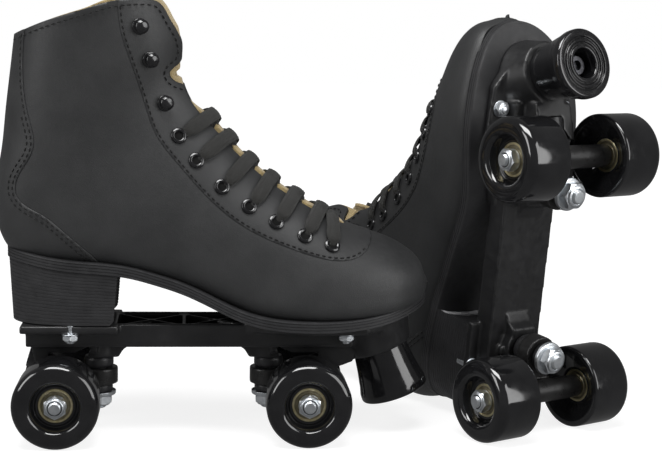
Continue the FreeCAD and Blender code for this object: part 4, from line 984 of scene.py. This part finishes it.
def heel_piece(side):
    """The stacked heel: fine horizontal ridges, narrower at its foot, with a pale front face."""
    count = 240
    points, out = heel_outline(count)

    def level(share, push):
        x, y = (HEEL_MIDDLE + (points - HEEL_MIDDLE) * (1 - HEEL_TAPER * (1 - share)) + out * push).T
        top = sole_height(points[:, 0]) - SOLE_THICK
        low = np.maximum(HEEL_TOE_ROUND - (top - PLATE_TOP) * share, 0)
        drawn_in = HEEL_TOE_ROUND - np.sqrt(HEEL_TOE_ROUND ** 2 - low ** 2)
        x = x - np.where(points[:, 0] > BREAST_START, drawn_in, 0)
        return np.column_stack([x, y, PLATE_TOP + (top - PLATE_TOP) * share])

    levels = [(0.0, -1.5), (0.012, -0.4)]
    ridges = 16
    for ridge in range(ridges):
        base = 0.02 + ridge * 0.061
        levels += [(base, 0.0), (base + 0.042, 0.0), (base + 0.046, -0.24), (base + 0.058, -0.24)]
    levels += [(1.0, 0.0)]
    stacked(side, "heel_ridged", level, levels, "heel_rubber", "heel_rubber", ["heel_block"])
    low_ring, high_ring = level(0.02, 0.35), level(0.98, 0.35)
    front = [i for i in range(count) if points[i, 0] > BREAST_START and abs(points[i, 1]) < 28]
    front.sort(key=lambda i: points[i, 1])
    verts = []
    for row in range(BREAST_ROWS + 1):
        share = row / BREAST_ROWS
        for step in range(BREAST_STEPS + 1):
            index = front[int(round(step / BREAST_STEPS * (len(front) - 1)))]
            verts.append(tuple(low_ring[index] * (1 - share) + high_ring[index] * share))
    width = BREAST_STEPS + 1
    starts = [row * width + step for row in range(BREAST_ROWS) for step in range(BREAST_STEPS)]
    faces = [(start, start + 1, start + width + 1, start + width) for start in starts]
    add_piece(side, "heel_breast", verts, faces, "breast", "boot", "heel_rubber")


# ------------------------------------------------------------------ wheels and running gear

BEARING_FACE = 8.5
BEARING_INSIDE = 1.5
BEARING_RADIUS = 11
AXLE_NUT_FACE = 9.5


def wheel_pieces(side, end, hand):
    """A polished wheel with its two bearings."""
    sign = 1 if end == "front" else -1
    outward = -1 if hand == "outer" else 1
    body = "%s_%s_wheel_body" % (end, hand)
    matrix = axis_frame((sign * AXLE_X, outward * TRACK_Y, WHEEL_RADIUS), (0, outward, 0))
    half = WHEEL_WIDTH / 2
    radius = WHEEL_RADIUS
    seat, face, inside = BEARING_RADIUS, BEARING_FACE, BEARING_INSIDE
    profile = [(9, -inside), (seat, -inside), (seat, -face), (12.4, -face - 0.1, 0.4),
               (23.2, -half + 0.3, 1.2), (radius, -half, 3.5), (radius, half, 8.0), (16.0, half, 3.6),
               (13.7, half - 8.5, 1.5), (12.2, face + 0.1, 0.6), (seat, face), (seat, inside), (9, inside)]
    verts, faces = lathe(profile, matrix, 96)
    add_piece(side, "%s_%s_wheel_tyre" % (end, hand), verts, faces, "wheel_urethane", body, "wheel_urethane",
              ["%s_%s_wheel" % (end, hand)])
    rings, shields = Bundle(), Bundle()
    for direction in (-1, 1):
        inside = (BEARING_INSIDE + 0.1) * direction

        def at(depth):
            return (BEARING_FACE - 0.05 - depth) * direction

        rings.turn([(9.35, at(0.7)), (9.35, at(0.0), 0.25), (10.95, at(0.0), 0.5), (10.95, inside),
                    (9.2, inside), (9.2, at(0.7))][::direction], matrix, 72)
        shields.turn([(6.05, at(0.75)), (6.05, at(0.5), 0.15), (7.0, at(0.45), 0.3), (7.3, at(0.75), 0.3),
                      (8.4, at(0.7), 0.3), (8.7, at(0.4), 0.2), (9.3, at(0.4), 0.2), (9.3, at(1.1)),
                      (6.05, at(1.1))][::direction], matrix, 72)
    rings.piece(side, "%s_%s_bearing_rings" % (end, hand), "bearing_steel", body, "bearing_steel",
                ["%s_%s_bearings" % (end, hand)])
    shields.piece(side, "%s_%s_bearing_shields" % (end, hand), "shield", body, "bearing_steel")


def axle_piece(side, end):
    """Inner races, washers, lock nuts and the axle's threaded ends."""
    sign = 1 if end == "front" else -1
    body = end + "_truck_body"
    races, metal, nylon = Bundle(), Bundle(), Bundle()
    for outward in (-1, 1):
        matrix = axis_frame((sign * AXLE_X, outward * TRACK_Y, WHEEL_RADIUS), (0, outward, 0))
        for direction in (-1, 1):
            face = BEARING_FACE * direction
            inside = BEARING_INSIDE * direction
            races.turn([(4.03, inside), (4.03, face, 0.3), (5.75, face, 0.35), (5.75, inside)][::direction],
                       matrix, 48)
        near, far = BEARING_FACE, AXLE_NUT_FACE
        metal.turn([(4.05, near), (4.05, far), (6.9, far, 0.2), (6.9, near, 0.2)], matrix, 48)
        metal.turn([(4.05, -far), (4.05, -near), (6.0, -near), (6.0, -far)], matrix, 48)
        raised = matrix @ Matrix.Translation(Vector((0, AXLE_NUT_FACE, 0)))
        metal.nut(13, 4.05, 5.2, raised)
        metal.turn([(4.3, 14.6), (4.5, 15.9, 0.4), (5.4, 15.9, 0.8), (6.1, 14.6)], matrix, 48)
        nylon.turn([(3.9, 14.4), (3.9, 15.6), (4.5, 15.6), (4.5, 14.4)], matrix, 40)
        thread = [(0.01, -9.0), (3.9, -9.0)]
        for turn in range(7):
            base = 10.5 + turn * 0.9
            thread += [(3.95, base), (3.55, base + 0.45)]
        thread += [(3.9, 16.8), (3.3, 17.5, 0.2), (0.01, 17.5)]
        metal.turn(thread, matrix, 48, closed=False)
    centre = axis_frame((sign * AXLE_X, 0, WHEEL_RADIUS), (0, 1, 0))
    reach = TRACK_Y - 9
    metal.turn([(0.01, -reach), (3.9, -reach), (3.9, reach), (0.01, reach)], centre, 32)
    races.piece(side, end + "_races", "bearing_steel", body, "bearing_steel", [end + "_inner_races"])
    metal.piece(side, end + "_axle_set", "zinc", body, "zinc", [end + "_axle"])
    nylon.piece(side, end + "_nut_inserts", "hole", body, "zinc")


KINGPIN_SETBACK = 23.5
KINGPIN_X = AXLE_X - KINGPIN_SETBACK
KINGPIN_HEAD = 61.5
RING_TOP = 41.25
RING_LOW = 30.75
BOSS_LOW = RING_TOP + 7.6
CUSHION_GAP = 0.3
# Name, bottom, top, radius, and whether its top stays put while it is squashed.
CUSHIONS = [("upper", RING_TOP + CUSHION_GAP, BOSS_LOW - CUSHION_GAP, 9.5, True),
            ("lower", RING_LOW - 6.3, RING_LOW - CUSHION_GAP, 9.0, False)]


def kingpin_piece(side):
    """Kingpin nuts, cup washers and threaded ends under both trucks."""
    metal = Bundle()
    for sign in (-1, 1):
        down = axis_frame((sign * KINGPIN_X, 0, RING_LOW - 6.6), (0, 0, -1))
        metal.turn([(4.8, 0), (10.3, 0, 0.3), (10.6, -1.2, 0.3), (11.0, -1.2, 0.2), (10.8, 1.2, 0.8),
                    (8.6, 1.6, 0.5), (4.8, 1.6)][::-1], down, 56)
        nut = down @ Matrix.Translation(Vector((0, 1.6, 0)))
        metal.nut(16, 4.8, 5.4, nut, 0.8)
        metal.turn([(4.8, 6.9), (7.4, 6.9), (6.9, 8.2, 0.8), (5.2, 8.6, 0.6), (4.8, 8.0)][::-1], down, 48)
        thread = [(4.7, -8.0), (4.7, 6.5)]
        for turn in range(4):
            thread += [(4.7, 7.0 + turn * 0.8), (4.2, 7.4 + turn * 0.8)]
        thread += [(4.0, 10.1, 0.6), (0.01, 10.1)]
        metal.turn(thread, down, 48, closed=False)
        up = axis_frame((sign * KINGPIN_X, 0, RING_LOW - 1), (0, 0, 1))
        metal.turn([(4.7, 0), (4.7, 36), (0.01, 36), (0.01, 0)][::-1], up, 40)
        head = axis_frame((sign * KINGPIN_X, 0, KINGPIN_HEAD), (0, 0, 1))
        metal.nut(16, 0.01, 5, head, 0.8)
    metal.piece(side, "kingpin_set", "zinc", "boot", "zinc", ["kingpins"])


def cushion_pieces(side):
    """The four rubber cushions, each with a mesh of its own."""
    for end, sign in (("front", 1), ("rear", -1)):
        for name, low_z, high_z, radius, fixed in CUSHIONS:
            up = axis_frame((sign * KINGPIN_X, 0, low_z), (0, 0, 1))
            tall = high_z - low_z
            verts, faces = lathe([(4.8, 0), (4.8, tall), (radius - 0.8, tall, 0.7),
                                  (radius, tall * 0.75, 1.5), (radius, tall * 0.25, 1.5),
                                  (radius - 0.8, 0, 0.7)], up, 56)
            replaced = ["cushions"] if end == "front" and name == "upper" else ()
            piece = add_piece(side, "%s_%s_cushion" % (end, name), verts, faces, "cushion_rubber", "boot",
                              "cushion_rubber", replaced)
            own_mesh(piece)


PLATE_BOLTS = [(x, y) for x in (103, -71) for y in (-27, 27)]
FLANGE = 5


def plate_bolt_piece(side):
    """Small bright nuts and bolt ends under the plate's flanges."""
    metal = Bundle()
    for x, y in PLATE_BOLTS:
        down = axis_frame((x, y, PLATE_TOP - FLANGE), (0, 0, -1))
        metal.turn([(2.6, 0), (5.4, 0, 0.2), (5.4, 0.7, 0.2), (2.6, 0.7)][::-1], down, 40)
        metal.nut(9, 2.5, 3.4, down @ Matrix.Translation(Vector((0, 0.7, 0))), 0.5)
        metal.turn([(2.5, 4.0), (4.1, 4.0), (3.8, 5.0, 0.5), (2.8, 5.2, 0.3), (2.5, 5.0)][::-1], down, 40)
        metal.turn([(2.4, -12.0), (2.4, 5.0), (2.4, 6.1, 0.4), (0.01, 6.5)], down, 32, closed=False)
    metal.piece(side, "plate_bolt_set", "zinc", "boot", "zinc", ["plate_bolts"])


STOP_LEAN = math.radians(20)
STOP_START = Vector((128, 0, 54))


def toe_stop_pieces(side):
    """The polished rubber stop, two rings and a deep recess in its face, and its dark bolt."""
    way = Vector((math.sin(STOP_LEAN), 0, -math.cos(STOP_LEAN)))
    matrix = axis_frame(STOP_START, way)
    face = 32.0
    profile = [(4.1, 0), (17.6, 0, 0.8), (19.2, 12, 8), (21, 22, 8), (22.3, 27, 5), (22.3, face, 3.5),
               (18.6, face, 0.4), (17.4, face, 0.5), (17.1, face - 1.2, 0.4), (15.9, face - 1.2, 0.4),
               (15.6, face, 0.5), (13.9, face, 0.5), (13.6, face - 1.2, 0.4), (12.3, face - 1.2, 0.4),
               (12.0, face, 0.5), (9.6, face, 1.0), (9.1, face - 12, 1.5), (7.5, face - 13, 0.5),
               (4.1, face - 13)]
    verts, faces = lathe(profile, matrix, 96)
    add_piece(side, "toe_stop_rubber", verts, faces, "stop_rubber", "boot", "stop_rubber", ["toe_stop"])
    bolt = Bundle()
    bolt.turn([(0.01, 22), (3.2, 22), (3.2, 25), (3.7, 25, 0.3), (6.3, 25, 0.7), (6.5, 19.05, 0.3),
               (4.0, 19.05), (4.0, -12), (0.01, -12)], matrix, 48)
    bolt.piece(side, "toe_stop_screw", "dark_steel", "boot", "dark_steel", ["toe_stop_bolt"])


def moulded(side, node, name, material, body, voxel=0.9):
    """A cast or moulded piece: the CAD solid with its corners softened as a mould leaves them."""
    source = frame["nodes"][side + "_" + node]
    mesh = source.data.copy()
    piece = bpy.data.objects.new(side + "_" + name, mesh)
    bpy.context.scene.collection.objects.link(piece)
    remesh = piece.modifiers.new("soften", "REMESH")
    remesh.mode = "VOXEL"
    remesh.voxel_size = voxel * MM
    smooth = piece.modifiers.new("smooth", "SMOOTH")
    smooth.factor = 0.5
    smooth.iterations = 8 if node == "plate" else 4
    bpy.context.view_layer.update()
    evaluated = piece.evaluated_get(bpy.context.evaluated_depsgraph_get())
    final = bpy.data.meshes.new_from_object(evaluated)
    piece.modifiers.clear()
    piece.data = final
    mesh = final
    mesh.materials.clear()
    mesh.materials.append(MATERIALS[material])
    mesh.shade_smooth()
    mesh.set_sharp_from_angle(angle=math.radians(50))
    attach(piece, side + "_" + body)
    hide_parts(side + "_" + node)
    return piece


def build_skate(side):
    """Every visible piece of one skate."""
    upper_pieces(side)
    tongue_piece(side)
    seam_stitches(side)
    eyelet_pieces(side)
    lace_piece(side)
    outsole_piece(side)
    heel_piece(side)
    moulded(side, "plate", "plate_moulded", "plate_nylon", "boot")
    for end in ("front", "rear"):
        moulded(side, end + "_truck", end + "_hanger", "truck_nylon", end + "_truck_body", 0.7)
        axle_piece(side, end)
        for hand in ("outer", "inner"):
            wheel_pieces(side, end, hand)
    kingpin_piece(side)
    cushion_pieces(side)
    plate_bolt_piece(side)
    toe_stop_pieces(side)
    for node in ("insole", "pivot_cups"):
        kept = frame["nodes"][side + "_" + node]
        kept.data.materials.clear()
        kept.data.materials.append(MATERIALS["insole" if node == "insole" else "cushion_rubber"])


for skate_side in ("right", "left"):
    build_skate(skate_side)


# ------------------------------------------------------------------ floor, light, camera

FLOOR_HALF = 6.0
# Glow of the floor: from and to these distances from the middle (metres), from and to these strengths.
FLOOR_GLOW = {"From Min": 0.35, "From Max": 1.3, "To Min": 0.84, "To Max": 1.0}


def floor():
    """A plain pale floor under the pair, which glows enough to read white beside the soft shadows."""
    mesh = bpy.data.meshes.new("floor")
    half = FLOOR_HALF
    corners = [(-half, -half, 0), (half, -half, 0), (half, half, 0), (-half, half, 0)]
    mesh.from_pydata(corners, [], [(0, 1, 2, 3)])
    material, nodes, links, shader = new_material("floor_pale")
    place = nodes.new("ShaderNodeTexCoord")
    away = nodes.new("ShaderNodeVectorMath")
    away.operation = "LENGTH"
    glow = nodes.new("ShaderNodeMapRange")
    for socket, value in FLOOR_GLOW.items():
        glow.inputs[socket].default_value = value
    links.new(place.outputs["Object"], away.inputs[0])
    links.new(away.outputs["Value"], glow.inputs["Value"])
    links.new(glow.outputs["Result"], shader.inputs["Emission Strength"])
    shader.inputs["Emission Color"].default_value = (1, 1, 1, 1)
    shader.inputs["Base Color"].default_value = (0.3, 0.3, 0.3, 1)
    shader.inputs["Roughness"].default_value = 0.7
    shader.inputs["Specular IOR Level"].default_value = 0.2
    mesh.materials.append(material)
    plane = bpy.data.objects.new("floor", mesh)
    bpy.context.scene.collection.objects.link(plane)
    plane.visible_glossy = False


# Name, place, width, height (metres) and watts of each soft box; all face the pair.
SOFT_BOXES = [("top_box", (-0.15, -0.45, 1.25), 0.9, 0.5, 17),
              ("left_box", (-1.3, -0.7, 0.7), 0.5, 0.9, 8),
              ("right_box", (1.2, -0.9, 0.6), 0.9, 1.2, 13)]
LIT_SPOT = Vector((0, 0, 0.1))
SURROUND_LIGHT = 0.13
SURROUND_SEEN = 1.0


def area_light(name, place, width, height, watts):
    """A soft rectangular studio light."""
    data = bpy.data.lights.new(name, "AREA")
    data.shape = "RECTANGLE"
    data.size = width
    data.size_y = height
    data.energy = watts
    lamp = bpy.data.objects.new(name, data)
    lamp.location = place
    lamp.rotation_euler = (LIT_SPOT - Vector(place)).to_track_quat("-Z", "Y").to_euler()
    bpy.context.scene.collection.objects.link(lamp)


def lights():
    """A surround that the camera sees white but that lights dimly, and soft boxes above and at both sides."""
    world = bpy.data.worlds.new("studio")
    world.use_nodes = True
    background = world.node_tree.nodes["Background"]
    background.inputs["Color"].default_value = (1, 1, 1, 1)
    paths = world.node_tree.nodes.new("ShaderNodeLightPath")
    level = world.node_tree.nodes.new("ShaderNodeMapRange")
    level.inputs["To Min"].default_value = SURROUND_LIGHT
    level.inputs["To Max"].default_value = SURROUND_SEEN
    world.node_tree.links.new(paths.outputs["Is Camera Ray"], level.inputs["Value"])
    world.node_tree.links.new(level.outputs["Result"], background.inputs["Strength"])
    bpy.context.scene.world = world
    for box in SOFT_BOXES:
        area_light(*box)


CAMERA_OFFSET = Vector((0.0064, -0.9566, 0.2611))
CAMERA_TURN, CAMERA_TILT, CAMERA_ROLL = math.radians(-5.26), math.radians(-7.59), math.radians(1.09)
CAMERA_LENS = 81.1


def camera():
    """The camera where the photographer stood: beside the right skate, looking slightly down."""
    data = bpy.data.cameras.new("camera")
    data.sensor_width = 36
    data.lens = CAMERA_LENS
    lens = bpy.data.objects.new("camera", data)
    lens.location = PLACES["right"].translation + CAMERA_OFFSET
    turn = Matrix.Rotation(CAMERA_TURN, 3, "Z")
    tilt = Matrix.Rotation(math.pi / 2 + CAMERA_TILT, 3, "X")
    lens.rotation_euler = (turn @ tilt @ Matrix.Rotation(CAMERA_ROLL, 3, "Z")).to_euler()
    bpy.context.scene.collection.objects.link(lens)
    bpy.context.scene.camera = lens


floor()
lights()
camera()
bpy.context.scene.view_settings.view_transform = "Standard"
